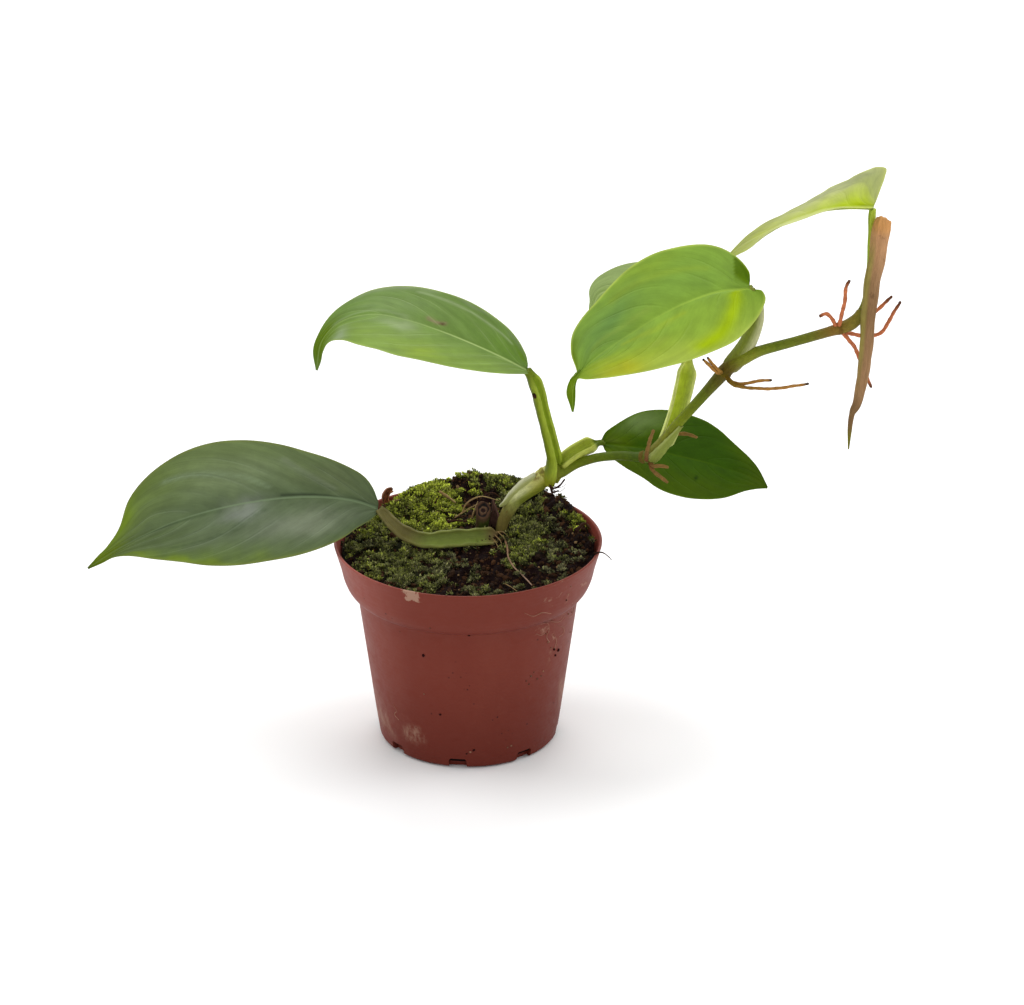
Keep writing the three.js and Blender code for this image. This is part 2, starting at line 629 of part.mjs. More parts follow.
function rootRing(name) {
  const { node, radius, roots } = ROOT_RINGS[name];
  const before = Math.floor(node);
  const middle = lerp(stemPlaces[before], stemPlaces[before + 1], node - before);
  const half = RING_LENGTH / stemCurve.getLength() / 2;
  const ring = stemPiece(GAP + RING_WALL, middle - half, middle + half, 3);
  return joined([ring, ...roots.map((path) => taper(path, [radius, 0.85 * radius, 0.5], 6, 8))]);
}

// Roots below the soil, spreading from the foot of the stem

const BURIED_COUNT = 6;
const BURIED_CROWN = [[13, 3, 69.6], [12.8, 2.8, 66], [12.5, 2.5, 62], [12, 2, 58]];

function buriedRoots(extra) {
  // Around the crown the channel runs on up into the stem's hole
  const crown = extra > 0 ? [[13.2, 3, 74], ...BURIED_CROWN] : BURIED_CROWN;
  const solids = [taper(crown, [2.6, 3.2, 2.4], 8, 4, extra)];
  for (let k = 0; k < BURIED_COUNT; k += 1) {
    const angle = (2 * Math.PI * k) / BURIED_COUNT + 0.4;
    const [dx, dy] = [Math.cos(angle), Math.sin(angle)];
    const depth = 30 + 9 * Math.sin(2.3 * k);
    const path = [
      [12, 2, 62], [12 + 9 * dx, 2 + 9 * dy, 58], [6 + 20 * dx, 20 * dy, 50],
      [28 * dx, 28 * dy, depth], [31 * dx, 31 * dy, depth - 18],
    ];
    solids.push(taper(path, [1.3, 1.1, 0.7], 5, 6, extra));
  }
  return joined(solids);
}

// Assembly

const stem = stemPiece(0);
const aroundStem = stemPiece(GAP);
const stub = taper(STUB_PATH, [STUB_RADIUS, STUB_RADIUS, STUB_RADIUS + 0.3], 10, 5);
const aroundStub = taper(STUB_PATH, [STUB_RADIUS, STUB_RADIUS, STUB_RADIUS + 0.3], 10, 5, GAP);

const flake = (extra) => {
  const outlineAt = () => gutter(2.6 + extra, 55 + 6 * extra, 0.9 + 2 * extra, 0);
  return toSolid(sweep(curveThrough(BARK_PATH), 6, outlineAt, new THREE.Vector3(-1, 0.2, 0)));
};

const oldSheath = () => {
  const outlineAt = (share) => gutter(between([[0, 4.9], [1, 5.5]], share)[0], 115, 1.1, 0);
  const opening = new THREE.Vector3(0.5, -0.55, -0.6);
  return toSolid(sweep(curveThrough(OLD_SHEATH_PATH), 6, outlineAt, opening));
};

const budSheath = (extra) => {
  const body = taper(BUD_SHEATH_PATH, BUD_SHEATH_RADII, 10, 14, extra);
  return extra > 0 ? body : trimmed(body, [taper(BUD_SHEATH_MOUTH, [3.1, 2.6, 1.8], 10, 3)]);
};

const surfaceRoot = (extra) => taper(
  [[16.5, -3, 93.6], [18.5, -9, 92.4], [19.5, -15, 91.8], [22.5, -25, 91], [28, -36, 89.8]],
  [0.7, 0.6, 0.5], 6, 9, extra);

const aroundStalk1 = stalk('petiole_1', GAP);
const stalks = {};
for (const name of Object.keys(STALKS)) {
  const leaf = name.replace('petiole', 'leaf');
  const around = [aroundStem, aroundStub, blade(leaf), blade(leaf, WIDE_GAP)];
  if (name === 'petiole_3') around.push(stalk('petiole_2', GAP));
  stalks[name] = trimmed(stalk(name), around);
}

const solids = {
  pot: potSolid(),
  soil: trimmed(soilSolid(), [
    aroundStem, aroundStub, aroundStalk1, flake(GAP), surfaceRoot(GAP), buriedRoots(GAP),
  ]),
  roots: trimmed(buriedRoots(0), []),
  stem,
  old_stem_stub: stub,
  bark_flake: trimmed(flake(0), [aroundStem, aroundStub]),
  old_sheath: trimmed(oldSheath(), [aroundStem, stalk('petiole_2', GAP)]),
  surface_root: trimmed(surfaceRoot(0), [aroundStem, aroundStalk1]),
  ...stalks,
  bud_sheath: trimmed(budSheath(0), [stalk('petiole_6', GAP), blade('leaf_6', GAP)]),
};
for (const name of Object.keys(LEAVES)) solids[name] = blade(name);
for (const name of Object.keys(ROOT_RINGS)) {
  const others = [aroundStem, budSheath(GAP), blade('leaf_3', GAP)];
  for (const stalkName of Object.keys(STALKS)) others.push(stalk(stalkName, GAP));
  solids[name] = trimmed(rootRing(name), others);
}

const COLOURS = {
  pot: [0x8a4536, 0.5],
  soil: [0x2b221b, 1],
  roots: [0xc9b48c, 0.9],
  stem: [0x71883a, 0.55],
  old_stem_stub: [0x6f6a3c, 0.85],
  bark_flake: [0x5c4330, 0.95],
  old_sheath: [0xa9a86a, 0.75],
  surface_root: [0xb9a687, 0.85],
  petiole_1: [0x76833f, 0.55],
  petiole_2: [0x84993a, 0.5],
  petiole_3: [0xa3b556, 0.5],
  petiole_4: [0x9db05a, 0.5],
  petiole_5: [0x9fb356, 0.5],
  petiole_6: [0x58702c, 0.5],
  leaf_1: [0x4c5f45, 0.4],
  leaf_2: [0x527a34, 0.4],
  leaf_3: [0x35552a, 0.4],
  leaf_4: [0x6f9a2f, 0.4],
  leaf_5: [0x7b9668, 0.45],
  leaf_6: [0x93ae3e, 0.45],
  bud_sheath: [0xa97c5f, 0.8],
  aerial_roots_a: [0x6b4a33, 0.9],
  aerial_roots_b: [0x8a6a3a, 0.85],
  aerial_roots_c: [0x93653a, 0.85],
  aerial_roots_d: [0xb4532f, 0.8],
};

const plant = new THREE.Group();
plant.name = 'potted_philodendron';
for (const [name, solid] of Object.entries(solids)) {
  const [color, roughness] = COLOURS[name];
  const material = new THREE.MeshStandardMaterial({ color, roughness, metalness: 0 });
  const mesh = new THREE.Mesh(fromSolid(solid), material);
  mesh.name = name;
  plant.add(mesh);
}

export default plant;
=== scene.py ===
"""A young climbing philodendron in its plastic nursery pot: the fine surfaces over the frame.

Shapes are given in millimetres, +Z up, in the frame's own axes, and become metres in make_mesh.
Colours are given as they look on a screen, 0 to 255.
"""

import math

import bmesh
import bpy
import numpy as np
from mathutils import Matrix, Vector, noise


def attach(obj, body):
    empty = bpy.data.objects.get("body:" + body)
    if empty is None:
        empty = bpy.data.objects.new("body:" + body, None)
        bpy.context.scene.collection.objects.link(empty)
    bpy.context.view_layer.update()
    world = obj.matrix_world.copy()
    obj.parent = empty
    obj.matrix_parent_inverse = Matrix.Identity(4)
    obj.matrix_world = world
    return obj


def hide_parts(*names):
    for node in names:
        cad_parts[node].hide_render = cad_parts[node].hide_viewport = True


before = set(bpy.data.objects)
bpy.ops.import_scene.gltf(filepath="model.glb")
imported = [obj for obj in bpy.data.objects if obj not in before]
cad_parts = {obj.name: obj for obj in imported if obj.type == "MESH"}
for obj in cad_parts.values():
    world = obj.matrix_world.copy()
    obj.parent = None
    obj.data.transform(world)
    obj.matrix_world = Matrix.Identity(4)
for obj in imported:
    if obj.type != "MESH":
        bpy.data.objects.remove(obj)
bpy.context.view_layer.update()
rng = np.random.default_rng(11)
MM = 0.001

# Camera, floor and light, in metres

CAMERA_PLACE = (0.019662, -1.998944, 1.012965)
CAMERA_TILT = 65.74
CAMERA_LENS = 173.08
FLOOR_HALF = 7.0
FLOOR_LEVEL = -0.0004
SKY_STRENGTH = 0.92
# Large soft lamps: name, place, size, power
LAMPS = [
    ("key_left", (-1.2, 0.3, 1.7), 1.2, 16),
    ("fill_right", (1.5, 0.3, 1.4), 1.2, 10),
    ("back_top", (0.1, 1.5, 1.8), 1.6, 17),
]
LAMP_AIM = (0.03, 0, 0.12)

# Colour

# The gloss adds this much light to every surface, and the rest comes back this strongly
HAZE = 0.018
LIGHT = 1.14
DARKEST = 0.0015
# The share that comes back and the gloss's light for the stem and its stalks
GREEN_LIGHT = (1.0, 0.008)


def linear(colour):
    """A screen colour, 0 to 255, as linear light from 0 to 1."""
    level = np.asarray(colour, float) / 255
    return np.where(level <= 0.04045, level / 12.92, ((level + 0.055) / 1.055) ** 2.4)


def as_pigment(seen, light=LIGHT, haze=HAZE):
    """The pigment that shows the linear colour given, once light and gloss are added."""
    return np.clip((seen - haze) / light, DARKEST, 1)


def pigment(colour, light=LIGHT, haze=HAZE):
    """The colour to give a surface so that it looks like the screen colour in this light."""
    return as_pigment(linear(colour), light, haze)


def lay(base, mask, colour):
    """Lays one linear colour over others where the mask is 1."""
    mask = np.clip(mask, 0, 1)[..., None]
    return base * (1 - mask) + colour * mask


def paint(base, mask, colour):
    """Lays the pigment of a screen colour over others where the mask is 1."""
    return lay(base, mask, pigment(colour))


def smooth_step(values, low, high):
    share = np.clip((values - low) / (high - low), 0, 1)
    return share * share * (3 - 2 * share)


def bump(values, centre, size):
    """1 at the centre, fading away on both sides."""
    return np.exp(-(((values - centre) / size) ** 2))


def rough(points, scale, seed=0.0):
    """Smooth noise, about -1 to 1, at each point, with features of the scale given in mm."""
    shift = Vector((seed, 2 * seed, 3 * seed))
    flat = np.asarray(points, float).reshape(-1, 3)
    values = [noise.fractal(Vector(p) / scale + shift, 0.9, 2.1, 3) for p in flat]
    return np.reshape(values, np.shape(points)[:-1])


# Curves and outlines


def catmull(points, shares):
    """Points at shares 0 to 1 of the uniform Catmull-Rom spline through a list."""
    given = np.asarray(points, float)
    count = len(given)
    place = (count - 1) * np.atleast_1d(shares)
    index = np.clip(np.floor(place).astype(int), 0, count - 2)
    part = (place - index)[:, None]
    padded = np.vstack([2 * given[0] - given[1], given, 2 * given[-1] - given[-2]])
    a, b, c, d = (padded[index + k] for k in range(4))
    leave, arrive = (c - a) / 2, (d - b) / 2
    cubic = 2 * b - 2 * c + leave + arrive
    square = 3 * c - 3 * b - 2 * leave - arrive
    return cubic * part**3 + square * part**2 + leave * part + b


def unit(vectors):
    return vectors / np.linalg.norm(vectors, axis=-1, keepdims=True)


class Path:
    """A smooth curve through points, measured along its length."""

    def __init__(self, points):
        self.fine = catmull(points, np.linspace(0, 1, 40 * len(points)))
        steps = np.linalg.norm(np.diff(self.fine, axis=0), axis=1)
        self.reach = np.concatenate([[0], np.cumsum(steps)])
        self.length = self.reach[-1]

    def at(self, along):
        along = np.asarray(along, float)
        place = np.stack([np.interp(along, self.reach, self.fine[:, k]) for k in range(3)], -1)
        start = unit(self.fine[2] - self.fine[0])
        return place + np.minimum(along, 0)[..., None] * start

    def tangent(self, along):
        step = 0.01 * self.length
        along = np.clip(np.asarray(along, float), 0, self.length)
        ahead = self.at(np.minimum(along + step, self.length))
        return unit(ahead - self.at(np.maximum(along - step, 0)))


def read_rows(rows, place):
    """Reads rows [place, value, ...] at places between them, one array for each value."""
    table = np.asarray(rows, float)
    return [np.interp(place, table[:, 0], table[:, k]) for k in range(1, table.shape[1])]


def soften(row, kernel):
    """A row of values blurred by an odd kernel, with its ends held."""
    held = np.pad(row, len(kernel) // 2, mode="edge")
    return np.convolve(held, kernel / kernel.sum(), "valid")


def circle(sides):
    """Angles round one turn."""
    return 2 * math.pi * np.arange(sides) / sides


def ring_outline(sides):
    return np.stack([np.cos(circle(sides)), np.sin(circle(sides))], -1)


def place_rings(path, along, outlines, top):
    """Stands flat outlines on a path. The outline's second number points towards top.

    along holds one place for each outline, or one for each point of each outline.
    """
    if along.ndim == 1:
        along = along[:, None]
    centre, ahead = path.at(along), path.tangent(along)
    top = np.asarray(top, float)
    normal = unit(top - ahead * (ahead @ top)[..., None])
    side = np.cross(ahead, normal)
    return centre + side * outlines[..., :1] + normal * outlines[..., 1:]


# Meshes


def grid_faces(rows, columns, wrap=False):
    """Quads of a grid of points, numbered row by row. wrap joins the last column to the first."""
    across = columns if wrap else columns - 1
    row, column = np.meshgrid(np.arange(rows - 1), np.arange(across), indexing="ij")
    here = row * columns + column
    beside = row * columns + (column + 1) % columns
    return np.stack([here, beside, beside + columns, here + columns], -1).reshape(-1, 4)


def tube_faces(rows, columns):
    """Quads round a tube of rings, with one face across each end."""
    faces = grid_faces(rows, columns, wrap=True).tolist()
    faces.append(list(range(columns))[::-1])
    faces.append(list(range((rows - 1) * columns, rows * columns)))
    return faces


def show(name, data):
    """Puts a new object into the scene."""
    made = bpy.data.objects.new(name, data)
    bpy.context.scene.collection.objects.link(made)
    return made


def make_mesh(name, vertices, faces):
    """A mesh from millimetres, its faces turned outwards."""
    mesh = bpy.data.meshes.new(name)
    points = np.asarray(vertices, float).reshape(-1, 3) * MM
    mesh.from_pydata(points.tolist(), [], faces)
    work = bmesh.new()
    work.from_mesh(mesh)
    bmesh.ops.recalc_face_normals(work, faces=work.faces)
    work.to_mesh(mesh)
    work.free()
    return mesh


def add_piece(name, vertices, faces, material, replaces=(), layers=None, smooth=True):
    """Makes a visible piece with its value layers and puts it on the frame. tint is a colour."""
    mesh = make_mesh(name, vertices, faces.tolist() if isinstance(faces, np.ndarray) else faces)
    for key, values in (layers or {}).items():
        if key == "tint":
            layer = mesh.attributes.new(key, "FLOAT_COLOR", "POINT")
            values = values.reshape(-1, 3)
            layer.data.foreach_set("color", np.c_[values, np.ones(len(values))].ravel())
        else:
            layer = mesh.attributes.new(key, "FLOAT", "POINT")
            layer.data.foreach_set("value", np.asarray(values, float).ravel())
    mesh.polygons.foreach_set("use_smooth", [smooth] * len(mesh.polygons))
    mesh.materials.append(material)
    piece = show(name, mesh)
    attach(piece, "root")
    if replaces:
        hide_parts(*replaces)
    return piece


def add_tube(name, rings, material, replaces=(), layers=None):
    """A piece from rings of points. A layer may hold one value for each ring or each column."""
    rows, columns = rings.shape[:2]
    full = {}
    for key, values in (layers or {}).items():
        shape = (rows, columns, 3) if key == "tint" else (rows, columns)
        full[key] = np.broadcast_to(values, shape)
    return add_piece(name, rings, tube_faces(rows, columns), material, replaces, full)


def add_bits(name, vertices, faces, tint, material):
    """Many small flat-sided things on the soil or the wall, in one mesh."""
    add_piece(name, vertices, faces.reshape(-1, 3), material, (), {"tint": tint}, False)


def tube(points, radii, sides=12, steps=40, top=(0.3, 1, 0.2), wobble=0.0, seed=0.0):
    """Vertices, faces and share along of a round tube. radii are spread evenly along the path."""
    path = Path(points)
    share = np.linspace(0, 1, steps + 1)
    radius = np.interp(share, np.linspace(0, 1, len(radii)), radii)
    outline = ring_outline(sides)[None] * radius[:, None, None]
    if wobble:
        angle = np.arctan2(outline[..., 1], outline[..., 0])
        along = share[:, None] * path.length
        bumps = np.sin(3 * angle + 0.8 * along + seed) + np.sin(1.7 * along + 2 * angle - seed)
        outline = outline * (1 + wobble * bumps)[..., None]
    rings = place_rings(path, share * path.length, outline, top)
    draw_in(rings, ((0, 0.75), (-1, 0.5)))
    return rings.reshape(-1, 3), tube_faces(steps + 1, sides), np.repeat(share, sides)


def draw_in(rings, sizes):
    """Scales the rings named about their middles, so that an end reads as rounded."""
    for k, size in sizes:
        middle = rings[k].mean(0)
        rings[k] = middle + (rings[k] - middle) * size


def gather(parts):
    """Joins lists of (vertices, faces, share) into one mesh's arrays."""
    faces, start = [], 0
    for vertices, part_faces, _ in parts:
        faces += [[index + start for index in face] for face in part_faces]
        start += len(vertices)
    return np.vstack([part[0] for part in parts]), faces, np.concatenate([part[2] for part in parts])


# Materials


def arithmetic(operation, swapped=False):
    """A method that joins two values by one math node."""

    def apply(self, other):
        a, b = (other, self) if swapped else (self, other)
        return self.surface.math(operation, a, b)

    return apply


class Value:
    """A number or colour in a material's node tree, with the usual arithmetic."""

    def __init__(self, surface, socket):
        self.surface, self.socket = surface, socket

    __add__, __radd__ = arithmetic("ADD"), arithmetic("ADD", True)
    __sub__, __rsub__ = arithmetic("SUBTRACT"), arithmetic("SUBTRACT", True)
    __mul__, __rmul__ = arithmetic("MULTIPLY"), arithmetic("MULTIPLY", True)
    __truediv__ = arithmetic("DIVIDE")
    __pow__ = arithmetic("POWER")


class Surface:
    """A principled material whose inputs are built up from small node expressions."""

    def __init__(self, name, roughness, specular):
        self.material = bpy.data.materials.new(name)
        self.material.use_nodes = True
        self.tree = self.material.node_tree
        self.shader = self.tree.nodes["Principled BSDF"]
        self.plug(self.shader.inputs["Roughness"], roughness)
        self.plug(self.shader.inputs["Specular IOR Level"], specular)
        self.place = self.node("ShaderNodeTexCoord", out="Object")

    def node(self, kind, inputs=None, out=0, **settings):
        """A new node with its inputs plugged, as the value of one of its outputs."""
        made = self.tree.nodes.new(kind)
        for key, value in settings.items():
            setattr(made, key, value)
        for key, value in (inputs or {}).items():
            self.plug(made.inputs[key], value)
        return Value(self, made.outputs[out])

    def plug(self, socket, value):
        if isinstance(value, Value):
            self.tree.links.new(value.socket, socket)
        elif socket.type == "RGBA":
            socket.default_value = (*pigment(value), 1)
        else:
            socket.default_value = value

    def layer(self, name, out="Fac"):
        return self.node("ShaderNodeAttribute", out=out, attribute_name=name)

    def tint(self):
        return self.layer("tint", "Color")

    def math(self, operation, a, b=0.0):
        return self.node("ShaderNodeMath", {0: a, 1: b}, operation=operation)

    def band(self, value, low, high, start=0.0, end=1.0):
        """A value that goes smoothly from start to end while the given one goes from low to high."""
        inputs = {
            "Value": value, "From Min": low, "From Max": high, "To Min": start, "To Max": end,
        }
        return self.node("ShaderNodeMapRange", inputs, "Result", interpolation_type="SMOOTHSTEP")

    def fall(self, value, low, high):
        return self.band(value, low, high, 1.0, 0.0)

    def window(self, value, rise, full, leave, gone):
        """1 between full and leave, 0 before rise and after gone."""
        return self.band(value, rise, full) * self.fall(value, leave, gone)

    def noise(self, scale, vector=None, detail=3.0, roughness=0.55, distortion=0.0):
        inputs = {
            "Vector": vector or self.place, "Scale": scale, "Detail": detail,
            "Roughness": roughness, "Distortion": distortion,
        }
        return self.node("ShaderNodeTexNoise", inputs, "Fac")

    def cells(self, scale):
        return self.node("ShaderNodeTexVoronoi", {"Vector": self.place, "Scale": scale}, "Distance")

    def vector(self, x, y, z=0.0):
        return self.node("ShaderNodeCombineXYZ", {0: x, 1: y, 2: z})

    def axis(self, index):
        return self.node("ShaderNodeSeparateXYZ", {0: self.place}, index)

    def stretch(self, x, y, z):
        return self.node("ShaderNodeMapping", {"Vector": self.place, "Scale": (x, y, z)})

    def mix(self, factor, a, b, blend="MIX"):
        # The colour sockets of the mix node have the numbers 6 and 7 in and 2 out
        inputs = {0: factor, 6: a, 7: b}
        return self.node("ShaderNodeMix", inputs, 2, data_type="RGBA", blend_type=blend)

    def shade(self, colour, value, low, high):
        """A colour made darker or lighter by a value from 0 to 1."""
        grey = self.band(value, 0.25, 0.75, low, high)
        tone = self.node("ShaderNodeCombineColor", {0: grey, 1: grey, 2: grey})
        return self.mix(1.0, colour, tone, "MULTIPLY")

    def finish(self, colour, roughness=None, height=None, distance=0.0005, strength=0.6):
        self.plug(self.shader.inputs["Base Color"], colour)
        if roughness is not None:
            self.plug(self.shader.inputs["Roughness"], roughness)
        if height is not None:
            inputs = {"Height": height, "Distance": distance, "Strength": strength}
            self.plug(self.shader.inputs["Normal"], self.node("ShaderNodeBump", inputs))
        return self.material


# Pot: radius and height of its outline

POT_FOOT = [(0, 0.7), (30, 0.7), (31.2, 0)]
POT_OUTSIDE = [
    (39.2, 0), (40.2, 1), (41.6, 10), (49.8, 70.6), (52.7, 72.2), (54.4, 74.4), (55.9, 78), (57.2, 84),
    (60.1, 94),
]
POT_INSIDE = [(58.8, 94), (55.9, 84), (54.6, 78), (53.1, 75.6), (51.4, 73.4), (48.5, 71.8), (39.05, 2)]
POT_FLOOR = (0, 2)
POT_ROUNDING = 1.5
POT_SEGMENTS = 208
RING_STEP = 4
CREASE_ANGLE = 50
DRAIN_COUNT = 8
DRAIN_ANGLE = -6.6
# A drain notch seen from the front, and how far out from the pot's axis it starts and ends
DRAIN_OUTLINE = [(-4, -1), (4, -1), (4, 3.6), (3.2, 4.6), (-3.2, 4.6), (-4, 3.6)]
DRAIN_DEPTH = (37.2, 44)

# Marks and painted shade on the wall in metres: where each begins, is full, starts to fade and is gone
FOOT_DUST_Z = (0.003, 0.012, 0.014, 0.034)
CREASE_SHADE_Z = (0.0695, 0.071, 0.0725, 0.0755)
SCUFF_X, SCUFF_Z = (0.04, 0.0415, 0.0425, 0.045), (0.01, 0.02, 0.028, 0.036)
RIM_MARK_X = (0.0042, 0.005, 0.0102, 0.0116)
# The middle of a chalky blot near the foot
FOOT_BLOT_X, FOOT_BLOT_Z = -0.024, 0.0135
CHALK = (170, 136, 116)


def rounded(points, radius):
    """Rounds each inner corner of a flat outline with a short arc."""
    given = [np.array(p, float) for p in points]
    made = [given[0]]
    for before, corner, after in zip(given, given[1:], given[2:]):
        back, on = before - corner, after - corner
        cut = min(radius, 0.45 * np.linalg.norm(back), 0.45 * np.linalg.norm(on))
        start = corner + back / np.linalg.norm(back) * cut
        end = corner + on / np.linalg.norm(on) * cut
        for t in np.linspace(0, 1, 6):
            made.append((1 - t) ** 2 * start + 2 * t * (1 - t) * corner + t * t * end)
    made.append(given[-1])
    return np.array(made)


def make_drain_cutter():
    """Blocks that cut the drain notches into the bottom edge."""
    vertices, faces = [], []
    corners = len(DRAIN_OUTLINE)
    for turn in math.radians(DRAIN_ANGLE) + circle(DRAIN_COUNT):
        near = len(vertices)
        far = near + corners
        for out in DRAIN_DEPTH:
            for x, z in DRAIN_OUTLINE:
                place_x = x * math.cos(turn) + out * math.sin(turn)
                place_y = x * math.sin(turn) - out * math.cos(turn)
                vertices.append((place_x, place_y, z))
        faces.append(list(range(near, far)))
        faces.append(list(range(far, far + corners))[::-1])
        for i in range(corners):
            j = (i + 1) % corners
            faces.append([near + j, near + i, far + i, far + j])
    return show("drain_cutter", make_mesh("drain_cutter", vertices, faces))


def make_pot(material):
    profile = rounded([*POT_FOOT, *POT_OUTSIDE, *POT_INSIDE, POT_FLOOR], POT_ROUNDING)
    # Long stretches get more rings, so that a cut near one end leaves the shading alone
    outline = [profile[0]]
    for start, end in zip(profile, profile[1:]):
        pieces = max(1, int(np.linalg.norm(end - start) / RING_STEP))
        outline += [start + (end - start) * k / pieces for k in range(1, pieces + 1)]
    outline = np.array(outline)[1:-1]
    around = ring_outline(POT_SEGMENTS)[None] * outline[:, None, :1]
    height = np.broadcast_to(outline[:, None, 1:], (*around.shape[:2], 1))
    pot = add_tube("pot_wall", np.concatenate([around, height], -1), material, ["pot"])

    cutter = make_drain_cutter()
    cut = pot.modifiers.new("drains", "BOOLEAN")
    cut.operation = "DIFFERENCE"
    cut.object = cutter
    cut.solver = "EXACT"
    bpy.context.view_layer.update()
    shaped = pot.evaluated_get(bpy.context.evaluated_depsgraph_get())
    result = bpy.data.meshes.new_from_object(shaped)
    pot.modifiers.clear()
    pot.data = result
    bpy.data.objects.remove(cutter)
    split = pot.modifiers.new("crease", "EDGE_SPLIT")
    split.split_angle = math.radians(CREASE_ANGLE)


def pot_surface():
    s = Surface("pot_plastic", 0.55, 0.18)
    x, y, z = (s.axis(k) for k in range(3))
    colour = s.mix(s.noise(14, detail=4.0), (124, 62, 52), (112, 54, 45))
    cloud = s.band(s.noise(55, s.stretch(1, 1, 0.25)), 0.45, 0.8, 0, 0.3)
    colour = s.mix(cloud, colour, (132, 72, 60))
    # Painted shade: the wall darkens towards its foot, away from the light above
    colour = s.mix(s.fall(z, 0.0, 0.055) * 0.45, colour, (92, 44, 36))
    # Painted sheen: the wall is lighter towards its left and right sides, where the white surroundings
    # reflect off it
    left_sheen, right_sheen = s.band(x, -0.06, -0.022, 0.5, 0.0), s.band(x, 0.03, 0.06, 0.0, 0.16)
    colour = s.mix(s.math("MAXIMUM", left_sheen, right_sheen), colour, (176, 102, 92))
    # Painted shade in the crease under the collar
    colour = s.mix(s.window(z, *CREASE_SHADE_Z) * 0.15, colour, (84, 38, 30))
    # Chalky residue: near the foot on the left, thin smears on the right, a flake under the rim
    ragged = s.noise(190, detail=6.0, roughness=0.7, distortion=0.6)
    dust = s.noise(240, s.stretch(1, 1, 0.45), detail=5.0, roughness=0.75)
    left = s.fall(x + z * 0.45, -0.034, -0.022)
    blot = s.fall((x - FOOT_BLOT_X) ** 2 + (z - FOOT_BLOT_Z) ** 2, 0.0, 0.00005)
    patch = s.window(z, *FOOT_DUST_Z) * s.math("MAXIMUM", left, blot) * s.band(dust, 0.38, 0.7)
    smear = s.band(x, 0.026, 0.034) * s.band(z, 0.04, 0.062) * s.band(ragged, 0.56, 0.72)
    scuff = s.window(x, *SCUFF_X) * s.window(z, *SCUFF_Z) * s.band(ragged, 0.4, 0.6)
    wander = (s.noise(420, detail=4.0, roughness=0.7) - 0.5) * 0.011
    rim_left = s.window(x + wander + z * 0.35, *RIM_MARK_X)
    rim_patch = rim_left * s.band(z + wander * 0.8, 0.0885, 0.0893)
    front = s.fall(y, -0.01, 0.005)
    for mask, tone in ((patch, 0.62), (smear, 0.6), (scuff, 0.5), (rim_patch, 0.85)):
        colour = s.mix(mask * front * tone, colour, CHALK)
    worn = s.band(s.noise(60, detail=5.0, roughness=0.65), 0.6, 0.78) * 0.3
    colour = s.mix(worn, colour, (140, 88, 76))
    # Dark specks of peat
    speck = s.fall(s.cells(260), 0.09, 0.16) * s.band(s.noise(35, detail=2.0), 0.55, 0.6)
    colour = s.mix(speck * 0.8, colour, (58, 26, 22))
    inputs = {"Vector": s.place, "Scale": 160.0, "Distortion": 1.5, "Detail": 2.0}
    rings = s.node("ShaderNodeTexWave", inputs, "Fac", bands_direction="Z")
    return s.finish(colour, s.band(ragged, 0.3, 0.8, 0.5, 0.66), rings * 0.15 + ragged * 0.5, 0.0003, 0.35)


# Crumbs of peat stuck to the wall: x, z, size, all in mm, on the front of the pot
POT_SPECKS = [
    (0.7, 70.9, 0.7), (-19.5, 57.8, 0.75), (-12.2, 27.8, 0.6), (-19.4, 37.3, 0.35), (26.0, 42.2, 0.4),
    (28.1, 44.1, 0.5), (29.4, 45.7, 0.4), (30.8, 41.3, 0.45), (32.6, 42.0, 0.4), (33.5, 44.1, 0.45),
    (27.2, 40.1, 0.35), (19.2, 9.4, 0.5), (17.6, 9.0, 0.4), (35.6, 58.8, 0.5), (37.0, 54.6, 0.5),
    (38.2, 53.0, 0.6), (40.2, 51.1, 0.7), (38.8, 49.4, 0.55), (34.7, 64.1, 0.4), (43.6, 81.1, 0.5),
    (45.6, 54.8, 0.35), (44.6, 67.2, 0.4), (46.2, 66.0, 0.35), (1.0, 8.7, 0.5), (2.6, 9.6, 0.6),
    (-0.6, 7.6, 0.45), (-29.8, 67.2, 0.3), (-16.3, 75.3, 0.3), (45.6, 88.0, 0.35), (44.2, 84.4, 0.3),
]
SPECK_GROWTH = 1.3
# Only specks smaller than this can be pale
PALE_SPECK = 0.68
# Dried hair roots that cling to the wall: x and z in mm
WALL_HAIRS = [
    [(33, 72), (35.5, 69), (36, 65), (35, 62), (36.5, 58)],
    [(36, 71.5), (38.5, 68), (41, 66.5), (43.5, 67.5)],
    [(40, 65), (42.5, 61.5), (42.6, 58.5), (40.5, 58)],
    [(45, 70), (47.2, 67.5), (46.6, 63.5), (45, 64.5)], [(25, 82), (29, 79), (33, 79.5), (37, 77)],
    [(46, 75), (47.5, 72), (46.5, 69.5)], [(30, 66), (33, 64), (35.5, 66)],
    [(-33.5, 26), (-32, 23), (-33, 20.5), (-31, 18.5)], [(38, 62), (39.4, 57), (38.4, 53)],
]


def wall_place(x, z):
    """The place on the front of the pot's wall at each x and z."""
    outside = np.array(POT_OUTSIDE)
    radius = np.interp(z, outside[:, 1], outside[:, 0])
    return np.stack([x, -np.sqrt(radius**2 - x**2), z], -1)


# Soil and moss

SOIL_RADIUS = 56.3
SOIL_EDGE = 88.5
SOIL_CROWN, CROWN_RADIUS = 2.5, 58
RIM_LEVEL = 91
# The soil against the pot's wall, from the top down: radius and height
SOIL_WALL = [(56.1, 86), (54.7, 84), (52.8, 77), (48.0, 71.8), (38.4, 2.4)]
SOIL_RINGS, SOIL_SEGMENTS = 96, 300
